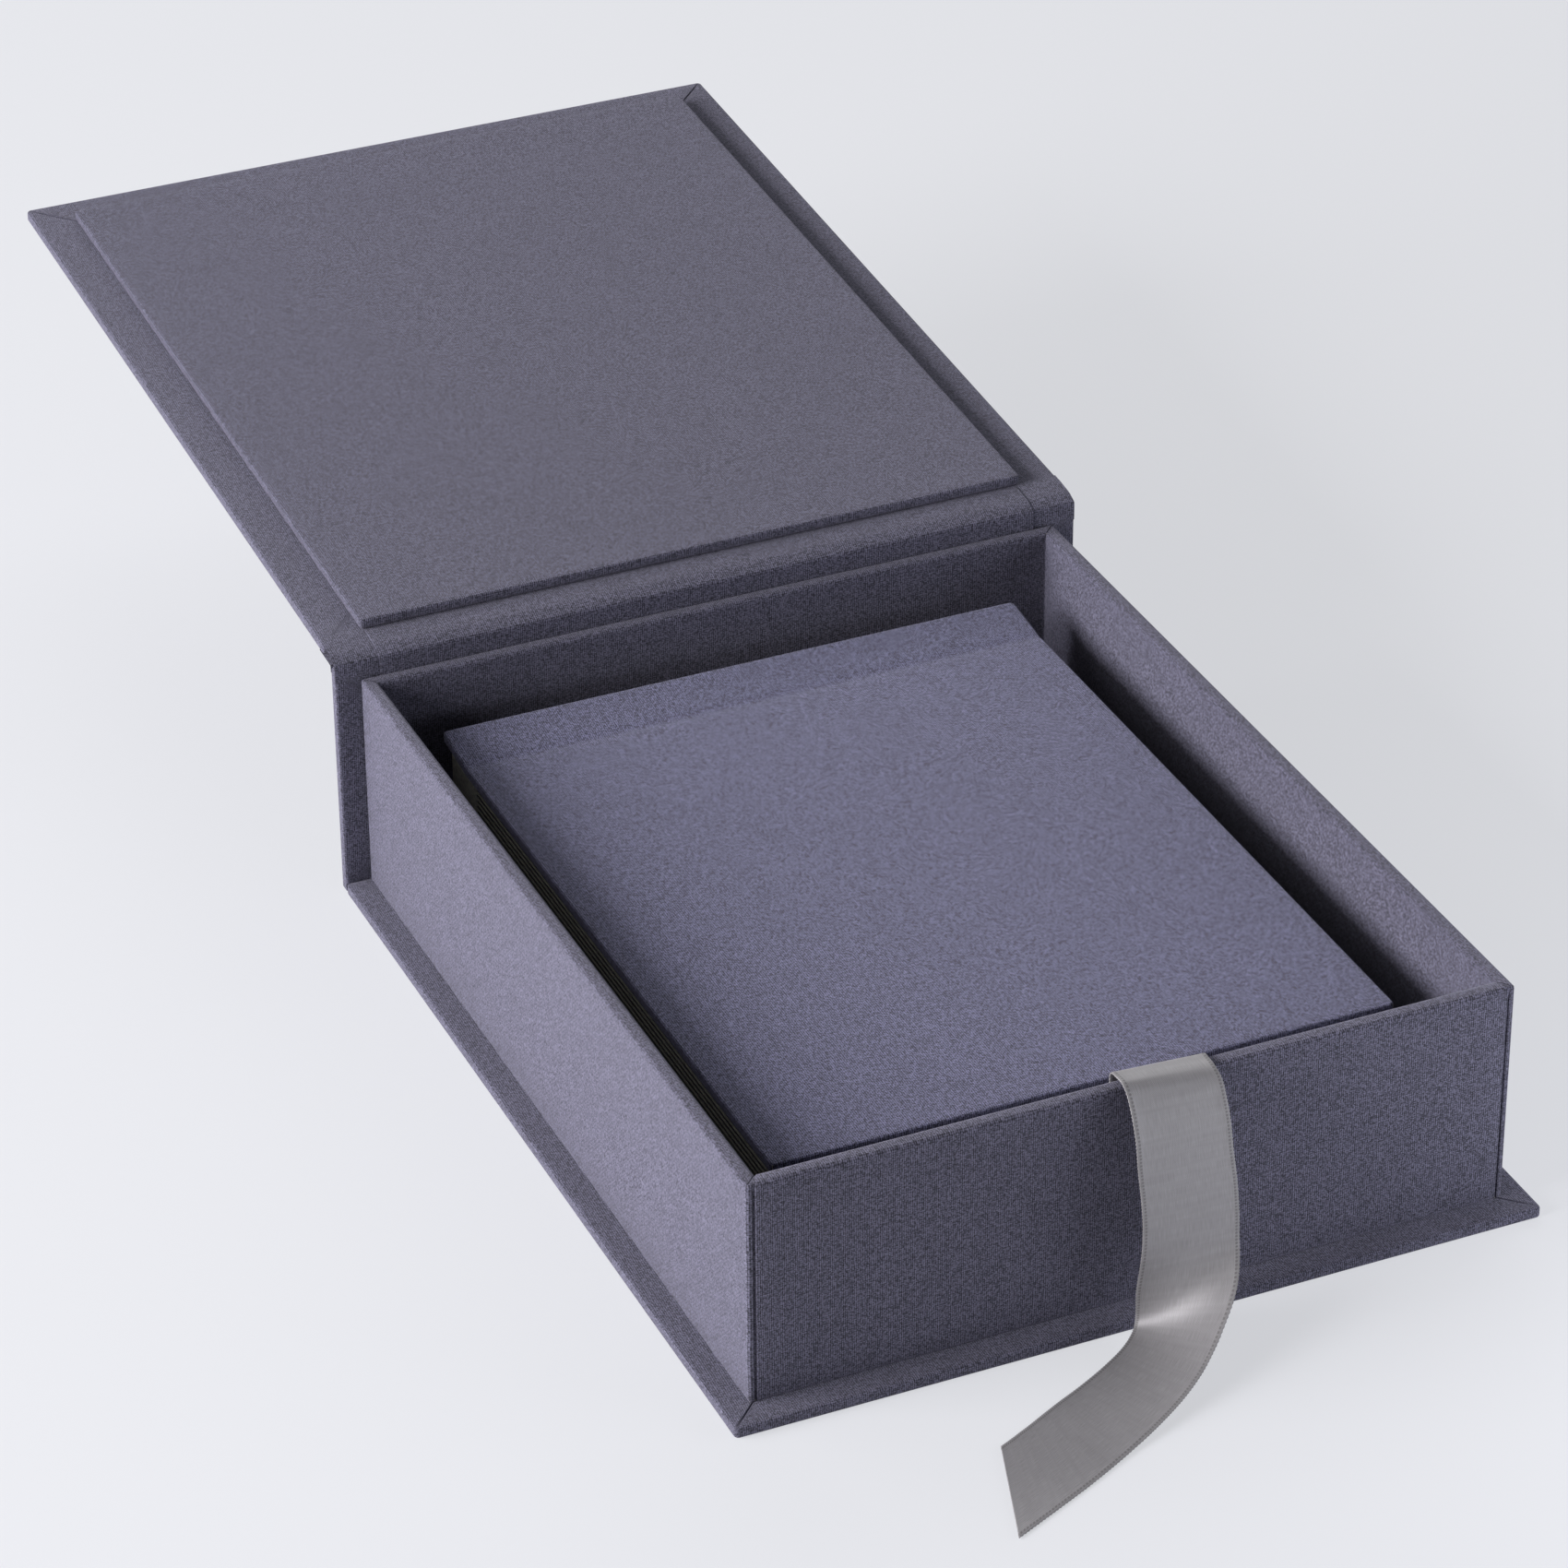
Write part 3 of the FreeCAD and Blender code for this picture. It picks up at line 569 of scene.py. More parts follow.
def make_piece(name, parts, material, on_lid=False):
    """A mesh object of grids of points, each with its flat map, joined where they meet."""
    points, faces, maps, base = [], [], [], 0
    for place, flat, turned in parts:
        rows, cols = place.shape[:2]
        index = base + np.arange(rows * cols).reshape(rows, cols)
        base += rows * cols
        ring = points_of(index[:-1, :-1], index[:-1, 1:], index[1:, 1:], index[1:, :-1])
        faces.append(ring.reshape(-1, 4))
        corners = np.stack((flat[:-1, :-1], flat[:-1, 1:], flat[1:, 1:], flat[1:, :-1]), axis=2)
        if turned is not None:
            cosine, sine = np.cos(turned)[..., None], np.sin(turned)[..., None]
            corners = points_of(corners[..., 0] * cosine - corners[..., 1] * sine,
                               corners[..., 0] * sine + corners[..., 1] * cosine)
        maps.append(corners.reshape(-1, 2))
        points.append((laid_back(place) if on_lid else place).reshape(-1, 3))
    mesh = bpy.data.meshes.new(name)
    mesh.from_pydata(np.concatenate(points).tolist(), [], np.concatenate(faces).tolist())
    mesh.uv_layers.new(name="threads").data.foreach_set("uv", np.concatenate(maps).ravel())
    built = bmesh.new()
    built.from_mesh(mesh)
    bmesh.ops.remove_doubles(built, verts=built.verts, dist=WELD_DISTANCE)
    bmesh.ops.recalc_face_normals(built, faces=built.faces)
    built.to_mesh(mesh)
    built.free()
    mesh.shade_smooth()
    mesh.set_sharp_from_angle(angle=SHARP_ANGLE)
    mesh.materials.append(material)
    piece = bpy.data.objects.new(name, mesh)
    bpy.context.scene.collection.objects.link(piece)
    return piece


def dress(name, node, parts, material, body="root"):
    """A piece that rides on a body, takes a slot's finish and stands for a CAD node."""
    piece = make_piece(name, parts, material, on_lid=body == "lid")
    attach(piece, body)
    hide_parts(node)
    return piece


def give_finish(nodes, material):
    """CAD nodes that keep their shape get a material of their own."""
    for node in nodes:
        slots = frame["nodes"][node].data.materials
        slots.clear()
        slots.append(material)


# The camera, fitted to the photograph's edges: where it stands, how it looks, and its lens.
CAMERA_PLACE = (-0.5418, -1.1574, 0.8567)
CAMERA_AZIMUTH = math.radians(-23.581)
CAMERA_HEIGHT = math.radians(31.31)
CAMERA_ROLL = math.radians(-0.506)
CAMERA_LENS = 136.0
CAMERA_SENSOR = 36.0
CAMERA_CLIP = (0.1, 20.0)

# The lamps: place, target, size across and up, how bright a surface that faces them gets, colour.
LAMPS = (
    ("window_light", (-1.72, 0.04, 0.70), (0.0, 0.0, 0.05), (1.3, 0.9), 1.95, (1.0, 0.985, 1.0)),
    ("left_back_light", (-1.20, 1.20, 1.00), (0.0, 0.0, 0.05), (1.2, 1.0), 0.22, (1.0, 0.99, 1.0)),
    ("back_card", (0.85, 1.60, 1.40), (0.0, 0.0, 0.05), (1.8, 1.2), 0.32, (0.98, 0.99, 1.0)),
    ("right_card", (0.30, -0.28, 0.10), (0.09, -0.12, 0.03), (0.32, 0.18), 1.10, (0.96, 0.98, 1.05)),
)
SKY_STRENGTH = 0.10
# How much of the floor's look is its own glow, how dark its grain gets, and half its width.
FLOOR_GLOW_SHARE = 0.70
FLOOR_GRAIN_SHARE = 0.9
FLOOR_HALF = 4.0


class BOX_OT_stage(bpy.types.Operator):
    """Set up the camera, the soft lamps and the pale floor"""
    bl_idname = "box.stage"
    bl_label = "Stage"

    def execute(self, context):
        """The camera's axes come from its azimuth, height and roll."""
        scene = context.scene
        scene.view_settings.view_transform = "Standard"
        back = Vector((math.sin(CAMERA_AZIMUTH) * math.cos(CAMERA_HEIGHT),
                       -math.cos(CAMERA_AZIMUTH) * math.cos(CAMERA_HEIGHT), math.sin(CAMERA_HEIGHT)))
        level = Vector((0, 0, 1)).cross(back).normalized()
        upright = back.cross(level)
        right = level * math.cos(CAMERA_ROLL) + upright * math.sin(CAMERA_ROLL)
        upward = upright * math.cos(CAMERA_ROLL) - level * math.sin(CAMERA_ROLL)
        lens = bpy.data.cameras.new("camera")
        lens.lens, lens.sensor_width = CAMERA_LENS, CAMERA_SENSOR
        lens.clip_start, lens.clip_end = CAMERA_CLIP
        camera = bpy.data.objects.new("camera", lens)
        turned = Matrix((right, upward, back)).transposed().to_4x4()
        camera.matrix_world = Matrix.Translation(CAMERA_PLACE) @ turned
        scene.collection.objects.link(camera)
        scene.camera = camera
        for name, place, target, size, facing, colour in LAMPS:
            self.add_lamp(scene, name, Vector(place), Vector(target), size, facing, colour)
        self.add_sky(scene)
        self.add_floor(scene)
        return {"FINISHED"}

    def add_lamp(self, scene, name, place, target, size, facing, colour):
        """A soft rectangular lamp. Its power is what gives a white surface that faces it, at the
        target, the brightness asked for: pi squared times the distance squared."""
        light = bpy.data.lights.new(name, "AREA")
        light.shape, light.size, light.size_y = "RECTANGLE", size[0], size[1]
        light.energy = facing * math.pi ** 2 * (target - place).length_squared
        light.color = colour
        lamp = bpy.data.objects.new(name, light)
        lamp.location = place
        lamp.rotation_mode = "QUATERNION"
        lamp.rotation_quaternion = (target - place).to_track_quat("-Z", "Y")
        scene.collection.objects.link(lamp)

    def add_sky(self, scene):
        """An even, faintly cool light from all round."""
        world = bpy.data.worlds.new("sky")
        world.use_nodes = True
        sky = next(node for node in world.node_tree.nodes if node.type == "BACKGROUND")
        sky.inputs["Color"].default_value = (0.97, 0.98, 1.0, 1)
        sky.inputs["Strength"].default_value = SKY_STRENGTH
        scene.world = world

    def add_floor(self, scene):
        """A wide pale floor, whose shadows are softened by a glow that only the camera sees."""
        finish = Finish("pale_floor")
        colour = scene.box_colours.floor
        place = finish.place()
        grain = finish.noise(place, (300, 300, 300))
        tinted = finish.mix(grain * 0.12, colour, shaded(colour, FLOOR_GRAIN_SHARE))
        seen = finish.node("ShaderNodeLightPath")
        matt = finish.node("ShaderNodeBsdfDiffuse", {}, {"Color": finish.mix(seen, colour, tinted)})
        glow = finish.node("ShaderNodeEmission", {}, {"Color": colour, "Strength": 1.0})
        shader = finish.node("ShaderNodeMixShader", {},
                             {0: seen * FLOOR_GLOW_SHARE, 1: matt, 2: glow})
        finish.node("ShaderNodeOutputMaterial", {}, {"Surface": shader})
        mesh = bpy.data.meshes.new("floor")
        signs = ((-1, -1), (1, -1), (1, 1), (-1, 1))
        mesh.from_pydata([(x * FLOOR_HALF, y * FLOOR_HALF, 0) for x, y in signs], [], [(0, 1, 2, 3)])
        mesh.materials.append(finish.material)
        floor = bpy.data.objects.new("floor", mesh)
        scene.collection.objects.link(floor)


SPINE_CORNER = 1.2 * MM


class BOX_OT_case(bpy.types.Operator):
    """Cover the base, the spine, the lid and the panel inside it with book cloth"""
    bl_idname = "box.case"
    bl_label = "Case"

    def execute(self, context):
        """Each board has its own wrap; the lid's and the panel's are drawn on the lid."""
        settings = context.scene.box_sizes
        cloth = finish_named("box_weave", book_cloth)
        turn_in = settings.turn_in
        base = wrapped_board(*BASE, turn_in, True, (0, 0, 1, 1))
        dress("base_wrap", "base_cloth", base, cloth)
        lid = wrapped_board(*LID, turn_in, True, (1, 1, 0, 0))
        dress("lid_wrap", "lid_cloth", lid, cloth, "lid")
        panel = wrapped_board(*PANEL, turn_in, False, foot=2 * settings.edge)
        dress("panel_wrap", "lid_panel_cloth", panel, cloth, "lid")
        self.wrap_spine(settings, cloth)
        return {"FINISHED"}

    def wrap_spine(self, settings, cloth):
        """The spine's wrap is drawn lying down, its open side up, and stood on its edge: what is
        along becomes up, and what is up points to the tray."""
        low, high = SPINE
        flat_low = (low[0], low[2], 0)
        flat_high = (high[0], high[2], high[1] - low[1])
        stood = []
        for points, flat, turned in wrapped_board(flat_low, flat_high, settings.turn_in, True,
                                                  corner=SPINE_CORNER):
            place = points_of(points[..., 0], high[1] - points[..., 2], points[..., 1])
            stood.append((place, flat, turned))
        dress("spine_wrap", "spine_cloth", stood, cloth)


# The gap between the side cloths' laps and the front cloth's cut edges: its width and depth, the
# columns that draw it, and how far from its middle it is deep, in widths.
LAP_GAP = 0.6 * MM
LAP_DEPTH = 0.38 * MM
LAP_COLUMNS = (-0.6, -0.3, 0.3, 0.6)
LAP_DEEP_SHARE = 0.45
# The walls' cloth is rounded over the boards' upper edges, and draws in a little at its foot.
OUTER_EDGE = 0.8 * MM
INNER_EDGE = 1.3 * MM
FOOT_DEPTH = 0.3 * MM
FOOT_RISE = 0.5 * MM
# The tray's corners, seen from above, and their least radius inside.
TRAY_CORNER = 1.0 * MM
TRAY_LEAST_RADIUS = 0.3 * MM
# Rows of the walls' cloth: above the foot and the floor, and under the top.
ROW_ABOVE_FOOT = 20 * MM
ROW_UNDER_TOP = 3 * MM
# How much of a seam lies over each corner of the walls, the two front ones last.
WALL_SEAMS = (1, 1, 0.5, 0.5)
# The front wall's own cloth: its start over the foot, how far it stands proud and reaches in, the
# radius of its cut edges, and how soon it widens inside.
FRONT_START = 0.7 * MM
FRONT_PROUD = 0.26 * MM
FRONT_SUNK = -0.02 * MM
FRONT_RIM = 0.15 * MM
FRONT_WIDENS = 4 * MM


class BOX_OT_tray(bpy.types.Operator):
    """Cover the tray's walls, with a separate cloth over the front wall, and line its floor"""
    bl_idname = "box.tray"
    bl_label = "Tray"

    def execute(self, context):
        """The walls' cloth is one closed profile carried round the tray."""
        settings = context.scene.box_sizes
        cloth = finish_named("box_weave", book_cloth)
        low, high = WALLS
        wall = high[0] - FLOOR[1][0]
        half, middle = (high - low) / 2, (low + high) / 2
        top, foot, floor = high[2], low[2], FLOOR[1][2]
        thin = settings.cloth
        angles = np.linspace(0, math.pi / 2, ARC_POINTS)
        face = np.array(((-FOOT_DEPTH, foot), (0, foot + FOOT_RISE), (0, foot + ROW_ABOVE_FOOT),
                         (0, top - ROW_UNDER_TOP)))
        out = np.concatenate((face[:, 0], OUTER_EDGE * (np.cos(angles) - 1), (-wall / 2,),
                              -wall + INNER_EDGE * (1 - np.sin(angles)), (-wall, -wall),
                              (-wall + thin, -wall + thin, -thin, -thin, -FOOT_DEPTH)))
        up = np.concatenate((face[:, 1], top - OUTER_EDGE * (1 - np.sin(angles)), (top,),
                             top - INNER_EDGE * (1 - np.cos(angles)), (floor + ROW_ABOVE_FOOT, foot),
                             (foot, top - 1.5 * thin, top - 1.5 * thin, foot, foot)))
        outside = slice(0, len(face))
        upper_edges = slice(len(face), len(face) + 2 * ARC_POINTS + 1)
        run = lengths(points_of(out, up))
        lap = FRONT_CLOTH[1][0] + LAP_GAP / 2
        gap_edges = lap + LAP_GAP * np.array(LAP_COLUMNS)
        columns = columns_round(spread(-half[0], half[0], WRAP_STEP, (*gap_edges, *-gap_edges)),
                                spread(-half[1], half[1], WRAP_STEP))
        plan = rings(half, TRAY_CORNER, columns, out, np.full(len(out), TRAY_LEAST_RADIUS))
        from_lap = abs(abs(plan[outside, :, 0]) - lap)
        plan[outside, :, 1] += ((from_lap < LAP_GAP * LAP_DEEP_SHARE)
                                & (plan[outside, :, 1] < 0)) * LAP_DEPTH
        height = np.repeat(up[:, None], plan.shape[1], axis=1)
        height[upper_edges] -= columns[2] @ np.array(WALL_SEAMS) * settings.seam
        around = lengths(plan[0])
        flat = points_of(around[None, :], run[:, None])
        plan = plan + middle[:2]
        points = points_of(plan[..., 0], plan[..., 1], height)
        dress("tray_wall_wrap", "tray_wall_cloth", [(points, flat, None)], cloth)
        self.wrap_front(cloth, wall, top, foot, floor)
        lining = finish_named("lining_weave", lambda name: book_cloth(name, False))
        give_finish(["tray_floor_lining"], lining)
        return {"FINISHED"}

    def wrap_front(self, cloth, wall, top, foot, floor):
        """The front wall's own cloth, from near its foot, over its top, to the floor inside."""
        near, far = WALLS[0][1], WALLS[0][1] + wall
        corners = ((near, foot + FRONT_START), (near, top), (far, top), (far, floor))
        path, normals = rounded_path(corners, (OUTER_EDGE, INNER_EDGE), STRIP_STEP)
        run = lengths(path)
        inside = np.clip((run - (run[-1] - (top - floor))) / FRONT_WIDENS + 1, 0, 1)
        half = FRONT_CLOTH[1][0]
        half_widths = half + (FLOOR[1][0] - half) * inside
        parts = strip_across(path, normals, half_widths, FRONT_PROUD, FRONT_SUNK, FRONT_RIM)
        dress("tray_front_wrap", "tray_front_cloth", parts, cloth)


# The hinge's fold over the spine and its knee before the lid, in from the spine's front and up.
FOLD = (0.4 * MM, 1.45 * MM)
KNEE = (3.2 * MM, 2.85 * MM)
# Each sheet's ends and turns, its bends, its thickness on both sides, and where it starts and ends
# to turn.
OUTER_HANGS = 2 * MM
OUTER_TOP = 0.1 * MM
OUTER_TURN = 4.5 * MM
OUTER_LAP = 3 * MM
OUTER_BENDS = (0.5 * MM, 2 * MM)
OUTER_SKIN = (0.02 * MM, 0.35 * MM)
OUTER_MOVES = (0.1 * MM, 1.7 * MM)
INNER_HANGS = 4 * MM
INNER_IN = 0.05 * MM
SLOPE_END = (0.5 * MM, -0.02 * MM)
INNER_LAP = 4 * MM
INNER_BENDS = (0.9 * MM, 6 * MM, 12 * MM)
INNER_SKIN = (0.08 * MM, 0.3 * MM)
INNER_MOVES = (0.1 * MM, 3 * MM)
LINING_IN = 0.2 * MM
LINING_OVER = 0.15 * MM
LINING_END = (-0.5 * MM, 0.1 * MM)
LINING_BENDS = (1.0 * MM, 6 * MM, 12 * MM)
LINING_SKIN = (0.2 * MM, 0.1 * MM)
LINING_MOVES = (-0.2 * MM, 3 * MM)
HINGE_RIM = 0.3 * MM


class BOX_OT_hinge(bpy.types.Operator):
    """Lay the case's cloth and the lining strip over the joint of spine and lid"""
    bl_idname = "box.hinge"
    bl_label = "Hinge"

    def execute(self, context):
        """Three sheets, each a path seen from the side, that bend between the box and the lid."""
        front, back, top = SPINE[0][1], SPINE[1][1], SPINE[1][2]
        lid_near, lid_face = LID[0][1], LID[1][2]
        case_half, lining_half = SPINE[1][0], LINING[1][0]
        fold = (front + FOLD[0], top + FOLD[1])
        knee = (front + KNEE[0], top + KNEE[1])
        corners = ((back, top - OUTER_HANGS), (back, top + OUTER_TOP), lid_point(OUTER_TURN, 0),
                   lid_point(lid_near + OUTER_LAP, 0))
        self.add("hinge_outer", corners, OUTER_BENDS, case_half, OUTER_SKIN, back, OUTER_MOVES,
                 "hinge_cloth")
        slope = lid_point(lid_near + SLOPE_END[0], lid_face + SLOPE_END[1])
        corners = ((front + INNER_IN, top - INNER_HANGS), (front + INNER_IN, fold[1]), knee, slope,
                   lid_point(lid_near + INNER_LAP, lid_face))
        self.add("hinge_turn_in", corners, INNER_BENDS, case_half, INNER_SKIN, fold[0], INNER_MOVES,
                 "hinge_cloth")
        foot, inward = LINING[0][2], LINING[0][1] + LINING_IN
        corners = ((inward, foot), (inward, fold[1] + LINING_OVER), (knee[0], knee[1] + LINING_OVER),
                   (slope[0], slope[1] + LINING_END[1]),
                   lid_point(PANEL[0][1] + LINING_END[0], lid_face + LINING_END[1]))
        self.add("hinge_lining_strip", corners, LINING_BENDS, lining_half, LINING_SKIN, fold[0],
                 LINING_MOVES, "hinge_lining")
        return {"FINISHED"}

    def add(self, name, corners, bends, half, proud, start, moves, node):
        """One sheet of the hinge. Where along it the turn from box to lid starts and ends is worked
        out but not used.
        """
        path, normals = rounded_path(corners, bends, HINGE_STEP)
        parts = strip_across(path, normals, np.full(len(path), half), *proud, HINGE_RIM)
        sheet = make_piece(name, parts, finish_named("box_weave", book_cloth))
        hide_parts(node)
        bend = (start + moves[0], start + moves[1])
        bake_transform(sheet)


ALBUM_TURN_IN = 11 * MM
ALBUM_CORNER = 1.6 * MM
# The front cover's hinge groove: its depth and width, and the rows that draw it.
GROOVE_DEPTH = 0.22 * MM
GROOVE_WIDTH = 1.6 * MM
GROOVE_ROWS = np.linspace(-4, 4, 17) * MM


class BOX_OT_album(bpy.types.Operator):
    """Cover the album's two boards and finish its leaves, papers and posts"""
    bl_idname = "box.album"
    bl_label = "Album"

    def execute(self, context):
        """The front cover rises behind a pressed hinge groove to its binding strip."""
        settings = context.scene.box_sizes
        # The album's weave takes the lighter, bluer album colour: partly its own tone, partly
        # painted sheen.
        cloth = finish_named("album_weave", lambda name: book_cloth(
            name, colour=context.scene.box_colours.album_cloth))
        low, high = FRONT_COVER
        kink, end = FRONT_BOARD[1][1], FRONT_STRIP[1][1]
        steepness = (FRONT_STRIP[1][2] - FRONT_BOARD[1][2]) / (end - kink)
        groove = (kink + FRONT_STRIP[0][1]) / 2
        flat_high = np.array((high[0], high[1], high[2] - steepness * (high[1] - kink)))
        thickness = FRONT_BOARD[1][2] - FRONT_BOARD[0][2] + 2 * settings.cloth
        flat_low = np.array((low[0], low[1], flat_high[2] - thickness))

        def shift(along):
            """Level to the groove, then a slope, with a shallow hollow along the groove."""
            slope = steepness * np.maximum(along - kink, 0)
            return slope - GROOVE_DEPTH * np.exp(-((along - groove) / GROOVE_WIDTH) ** 2)

        front = wrapped_board(flat_low, flat_high, ALBUM_TURN_IN, False, corner=ALBUM_CORNER,
                              extra_y=groove + GROOVE_ROWS, shift=shift)
        dress("album_front_wrap", "album_front_cloth", front, cloth, "album")
        back = wrapped_board(*BACK_COVER, ALBUM_TURN_IN, True, corner=ALBUM_CORNER)
        dress("album_back_wrap", "album_back_cloth", back, cloth, "album")
        nodes = frame["nodes"]
        card = finish_named("fibrous_card", black_card)
        give_finish([node for node in nodes if "leaf" in node or "pastedown" in node], card)
        metal = finish_named("turned_metal", post_metal)
        give_finish([node for node in nodes if "album_post" in node], metal)
        return {"FINISHED"}


class BOX_OT_boards(bpy.types.Operator):
    """Finish the grey boards inside the cloth"""
    bl_idname = "box.boards"
    bl_label = "Boards"

    def execute(self, context):
        """Every node that is a board or a binding strip keeps its shape."""
        board = finish_named("pressed_board", grey_board)
        give_finish([node for node in frame["nodes"] if node.endswith(("_board", "_strip"))], board)
        return {"FINISHED"}


# The ribbon outside the front wall, to its cut end: place across in shares of its width, forward in
# shares of the base's front margin, up in shares of the wall's top, its turn and tilt in degrees.
RIBBON_SHARES = (
    (0.00, -0.20, 1.0290, 0, 4), (0.00, 0.28, 1.0250, 0, 5), (0.01, 0.62, 0.9880, 0, 3),
    (0.01, 0.94, 0.9250, 0, 2), (0.01, 1.22, 0.8450, 0, 0), (0.01, 1.42, 0.7400, 1, 0),
    (0.03, 1.58, 0.6200, 2, 0), (0.04, 1.70, 0.4900, 3, -1), (0.02, 1.82, 0.3700, 7, -4),
    (-0.02, 1.98, 0.2700, 20, -11), (-0.08, 2.22, 0.1900, 38, -17), (-0.17, 2.48, 0.1300, 53, -18),
    (-0.29, 2.82, 0.0880, 63, -15), (-0.48, 3.28, 0.0560, 68, -11), (-0.74, 3.78, 0.0330, 70, -7),
    (-1.06, 4.32, 0.0180, 70, -4), (-1.44, 4.92, 0.0085, 69, -1), (-1.86, 5.60, 0.0065, 68, 0),
    (-2.22, 6.15, 0.0065, 67, 0), (-2.58, 6.68, 0.0065, 66, 0),
)
# Its slanting cut end: how far its corners lie from the middle along it, and where the slant begins,
# in shares of the width.
RIBBON_SLANT_SHARE = 0.465
RIBBON_SLANT_START = 1.5
# How far it runs under the album, its thickness, its distance from the wall, its place to the right.
RIBBON_TUCK = 70 * MM
RIBBON_THICKNESS = 0.4 * MM
RIBBON_STAND_OFF = 0.6 * MM
RIBBON_SHIFT = 6.6 * MM
# Its woven edge: lines from the edge in, its loops' depth and reach, its bead's height, place and
# width, and how the thin edge is rounded off.
RIBBON_LINES = np.array((0, 0.05, 0.15, 0.35, 0.7, 1.1, 1.5)) * MM
RIBBON_MIDDLE_STEP = 2 * MM
LOOP_DEPTH = 0.22 * MM
LOOP_REACH = 0.7 * MM
BEAD_SHARE = 0.7
BEAD_PLACE = 0.9 * MM
BEAD_WIDTH = 0.25 * MM
RIBBON_EDGE = 0.2 * MM
CURVE_STEPS = 60


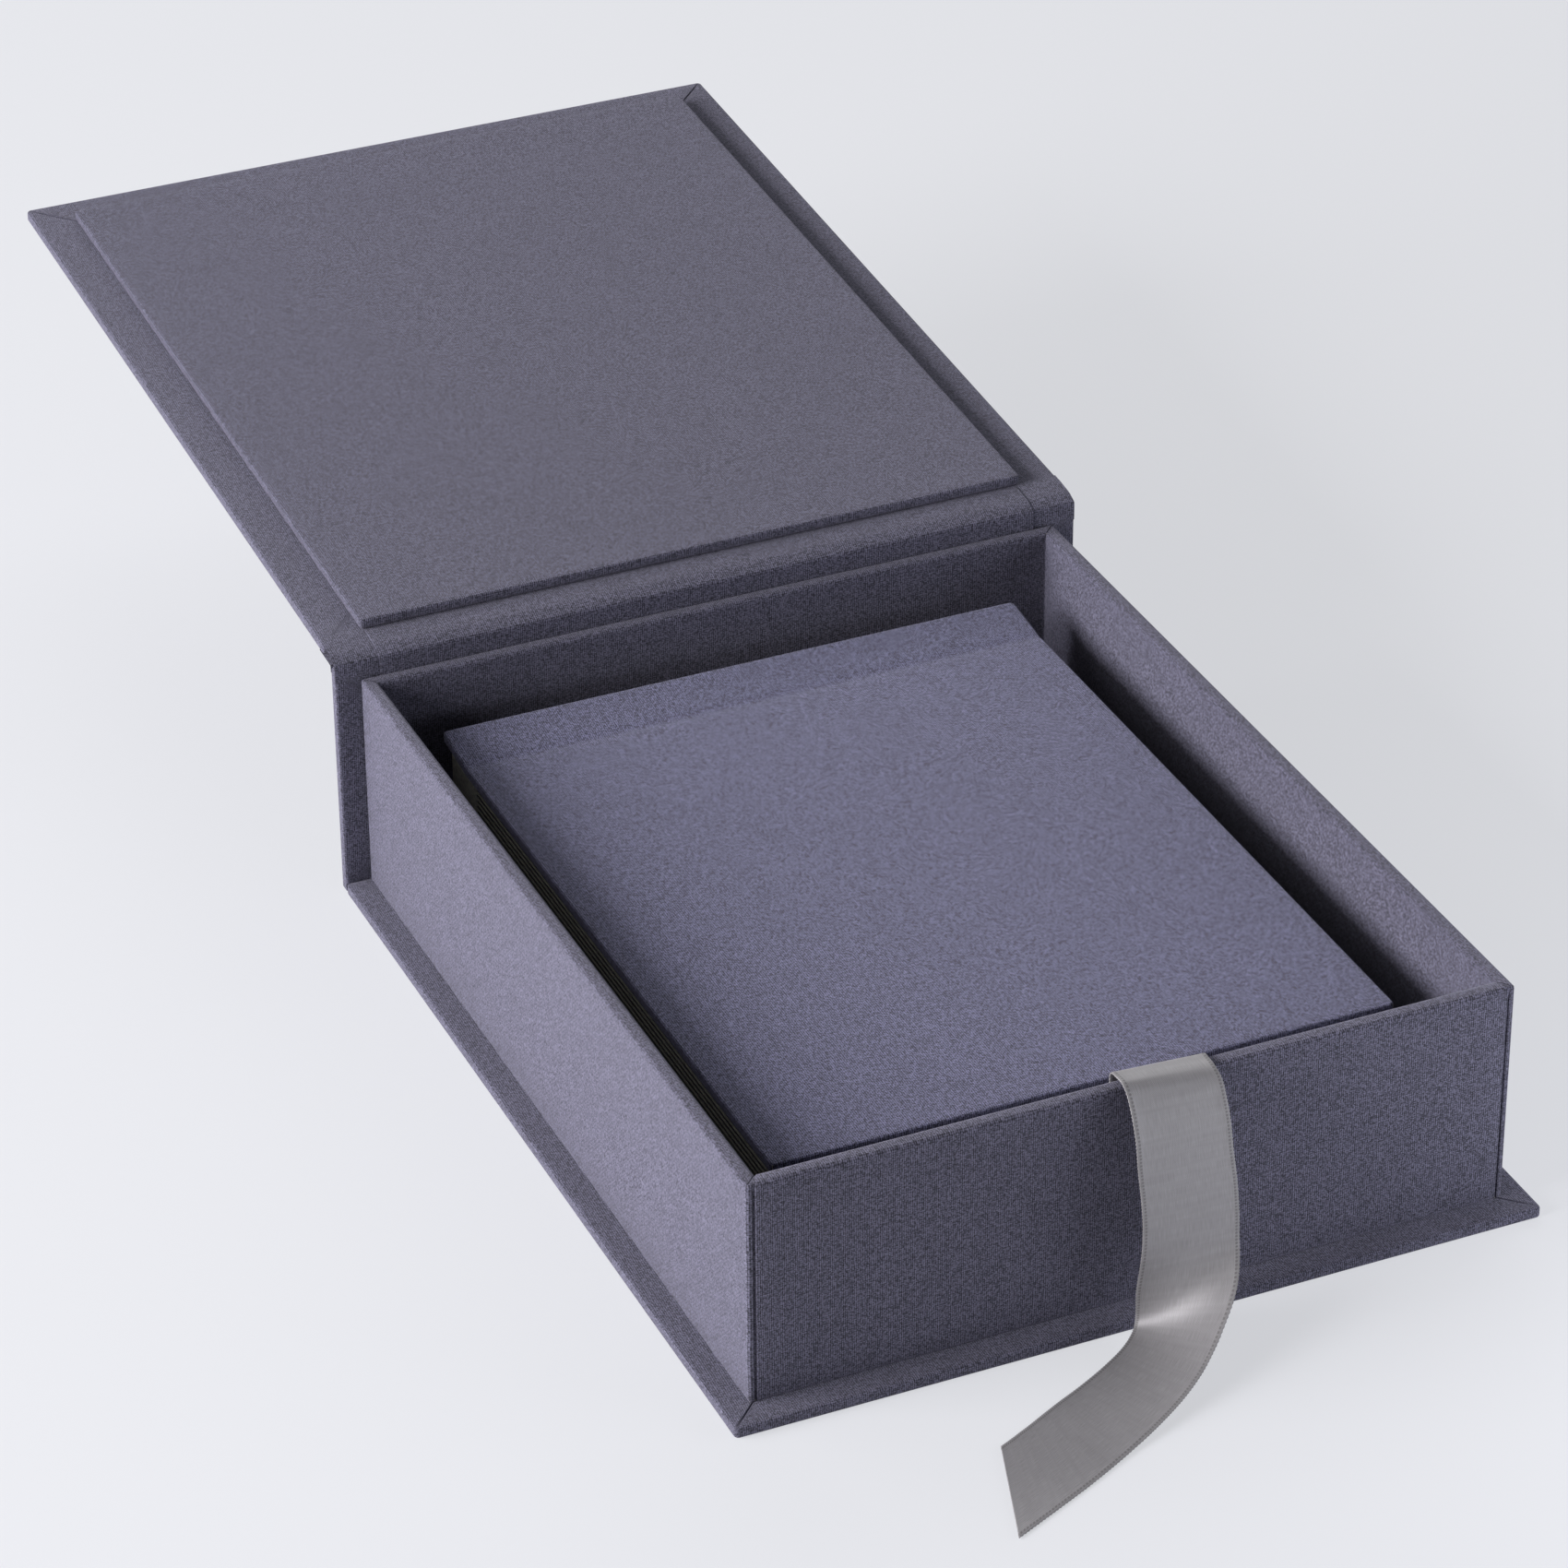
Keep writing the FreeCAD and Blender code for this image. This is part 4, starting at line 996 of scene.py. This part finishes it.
class BOX_OT_ribbon(bpy.types.Operator):
    """Lay the satin lift ribbon from under the album, up and over the front wall, to the table"""
    bl_idname = "box.ribbon"
    bl_label = "Ribbon"

    def stations(self, width):
        """Middle points and the turn and tilt of the width, from under the album to the cut end."""
        near, top = WALLS[0][1], WALLS[1][2]
        margin = near - BASE[0][1]
        wall = WALLS[1][0] - FLOOR[1][0]
        inside = near + wall + RIBBON_STAND_OFF
        floor = FLOOR[1][2] + RIBBON_THICKNESS / 2
        rise = 4 * RIBBON_STAND_OFF
        rows = [(RIBBON_SHIFT, near + wall + RIBBON_TUCK, floor, 0, 0),
                (RIBBON_SHIFT, near + wall + RIBBON_TUCK / 2, floor, 0, 0),
                (RIBBON_SHIFT, inside + rise, floor, 0, 0),
                (RIBBON_SHIFT, inside, floor + rise, 0, 0),
                (RIBBON_SHIFT, inside, (floor + top) / 2, 0, 1),
                (RIBBON_SHIFT, inside, top - wall, 0, 2),
                (RIBBON_SHIFT, inside - RIBBON_STAND_OFF / 2, top + 2 * RIBBON_STAND_OFF, 0, 3)]
        for across, forward, height, turn, tilt in RIBBON_SHARES:
            rows.append((RIBBON_SHIFT + across * width, near - forward * margin, height * top,
                         turn, tilt))
        return np.array(rows)

    def execute(self, context):
        """A smooth curve through the stations carries the width, with loops along both edges."""
        settings = context.scene.box_sizes
        stations = self.stations(settings.ribbon)
        line = catmull_rom(stations, CURVE_STEPS)
        run = lengths(line[:, :3])
        even = np.arange(0, run[-1], settings.picot / 4)
        line = np.stack([np.interp(even, run, column) for column in line.T], axis=1)
        middle, turn, tilt = line[:, :3], np.radians(line[:, 3]), np.radians(line[:, 4])
        along = np.gradient(middle, axis=0)
        along /= np.linalg.norm(along, axis=1)[:, None]
        across = points_of(np.cos(turn) * np.cos(tilt), -np.sin(turn) * np.cos(tilt), -np.sin(tilt))
        normal = np.cross(along, across)
        normal /= np.linalg.norm(normal, axis=1)[:, None]
        half = settings.ribbon / 2
        rim = half - RIBBON_LINES
        inner = spread(-rim.min(), rim.min(), RIBBON_MIDDLE_STEP)
        places = np.unique(np.concatenate((-rim, rim, inner)))
        from_edge = half - abs(places)
        loops = 0.5 + 0.5 * np.cos(even * (2 * math.pi / settings.picot))
        reach = np.clip(1 - from_edge / LOOP_REACH, 0, 1)
        offsets = places + np.sign(places) * reach * LOOP_DEPTH * (loops[:, None] - 1)
        slant = RIBBON_SLANT_START * settings.ribbon
        end_share = np.clip((even - (even[-1] - slant)) / slant, 0, 1)[:, None]
        pull = RIBBON_SLANT_SHARE * settings.ribbon * end_share * offsets / half
        centre = (middle[:, None] + across[:, None] * offsets[..., None]
                  + along[:, None] * pull[..., None])
        bead = 1 + BEAD_SHARE * np.exp(-((from_edge - BEAD_PLACE) / BEAD_WIDTH) ** 2)
        ends = rounded_off(np.minimum(even, even[-1] - even), RIBBON_EDGE)
        thickness = (ends[:, None] * rounded_off(from_edge, RIBBON_EDGE) * bead
                     * (RIBBON_THICKNESS / 2))
        flat = points_of(offsets, even[:, None])
        normals = np.repeat(normal[:, None], len(places), axis=1)
        parts = skin(centre, normals, thickness, thickness, flat)
        ribbon = dress("ribbon_satin", "lift_ribbon", parts, finish_named("ribbon_weave", satin))
        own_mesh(ribbon)
        return {"FINISHED"}


def catmull_rom(rows, steps):
    """A curve through the rows: each span is the cubic whose slope at a row is half the difference
    of the rows beside it."""
    before = np.concatenate((rows[:1], rows[:-2]))
    here, there = rows[:-1], rows[1:]
    after = np.concatenate((rows[2:], rows[-1:]))
    t = np.linspace(0, 1, steps, endpoint=False)[:, None, None]
    spans = here + t / 2 * (there - before + t * (2 * before - 5 * here + 4 * there - after
                                                  + t * (3 * (here - there) + after - before)))
    return np.concatenate((spans.transpose(1, 0, 2).reshape(-1, rows.shape[1]), rows[-1:]))


class BOX_PT_panel(bpy.types.Panel):
    """The box's pieces, sizes and colours in the sidebar"""
    bl_label = "Box"
    bl_space_type = "VIEW_3D"
    bl_region_type = "UI"
    bl_category = "Box"

    def draw(self, context):
        """Buttons first, then the sizes and the colours."""
        for operator in OPERATORS:
            self.layout.operator(operator.bl_idname)
        for group in (context.scene.box_sizes, context.scene.box_colours):
            for name in group.__annotations__:
                self.layout.prop(group, name)


OPERATORS = (BOX_OT_stage, BOX_OT_case, BOX_OT_tray, BOX_OT_hinge, BOX_OT_album, BOX_OT_boards,
             BOX_OT_ribbon)
CLASSES = (BoxSizes, BoxColours, *OPERATORS, BOX_PT_panel)


def register():
    """Adds the classes and the scene's settings."""
    for cls in CLASSES:
        bpy.utils.register_class(cls)
    bpy.types.Scene.box_sizes = bpy.props.PointerProperty(type=BoxSizes)
    bpy.types.Scene.box_colours = bpy.props.PointerProperty(type=BoxColours)


def unregister():
    """Takes the scene's settings and the classes away again."""
    del bpy.types.Scene.box_colours
    del bpy.types.Scene.box_sizes
    for cls in reversed(CLASSES):
        bpy.utils.unregister_class(cls)


def main():
    """Makes the stage and every piece."""
    register()
    bpy.ops.box.stage()
    bpy.ops.box.case()
    bpy.ops.box.tray()
    bpy.ops.box.hinge()
    bpy.ops.box.album()
    bpy.ops.box.boards()
    bpy.ops.box.ribbon()


if __name__ == "__main__":
    main()
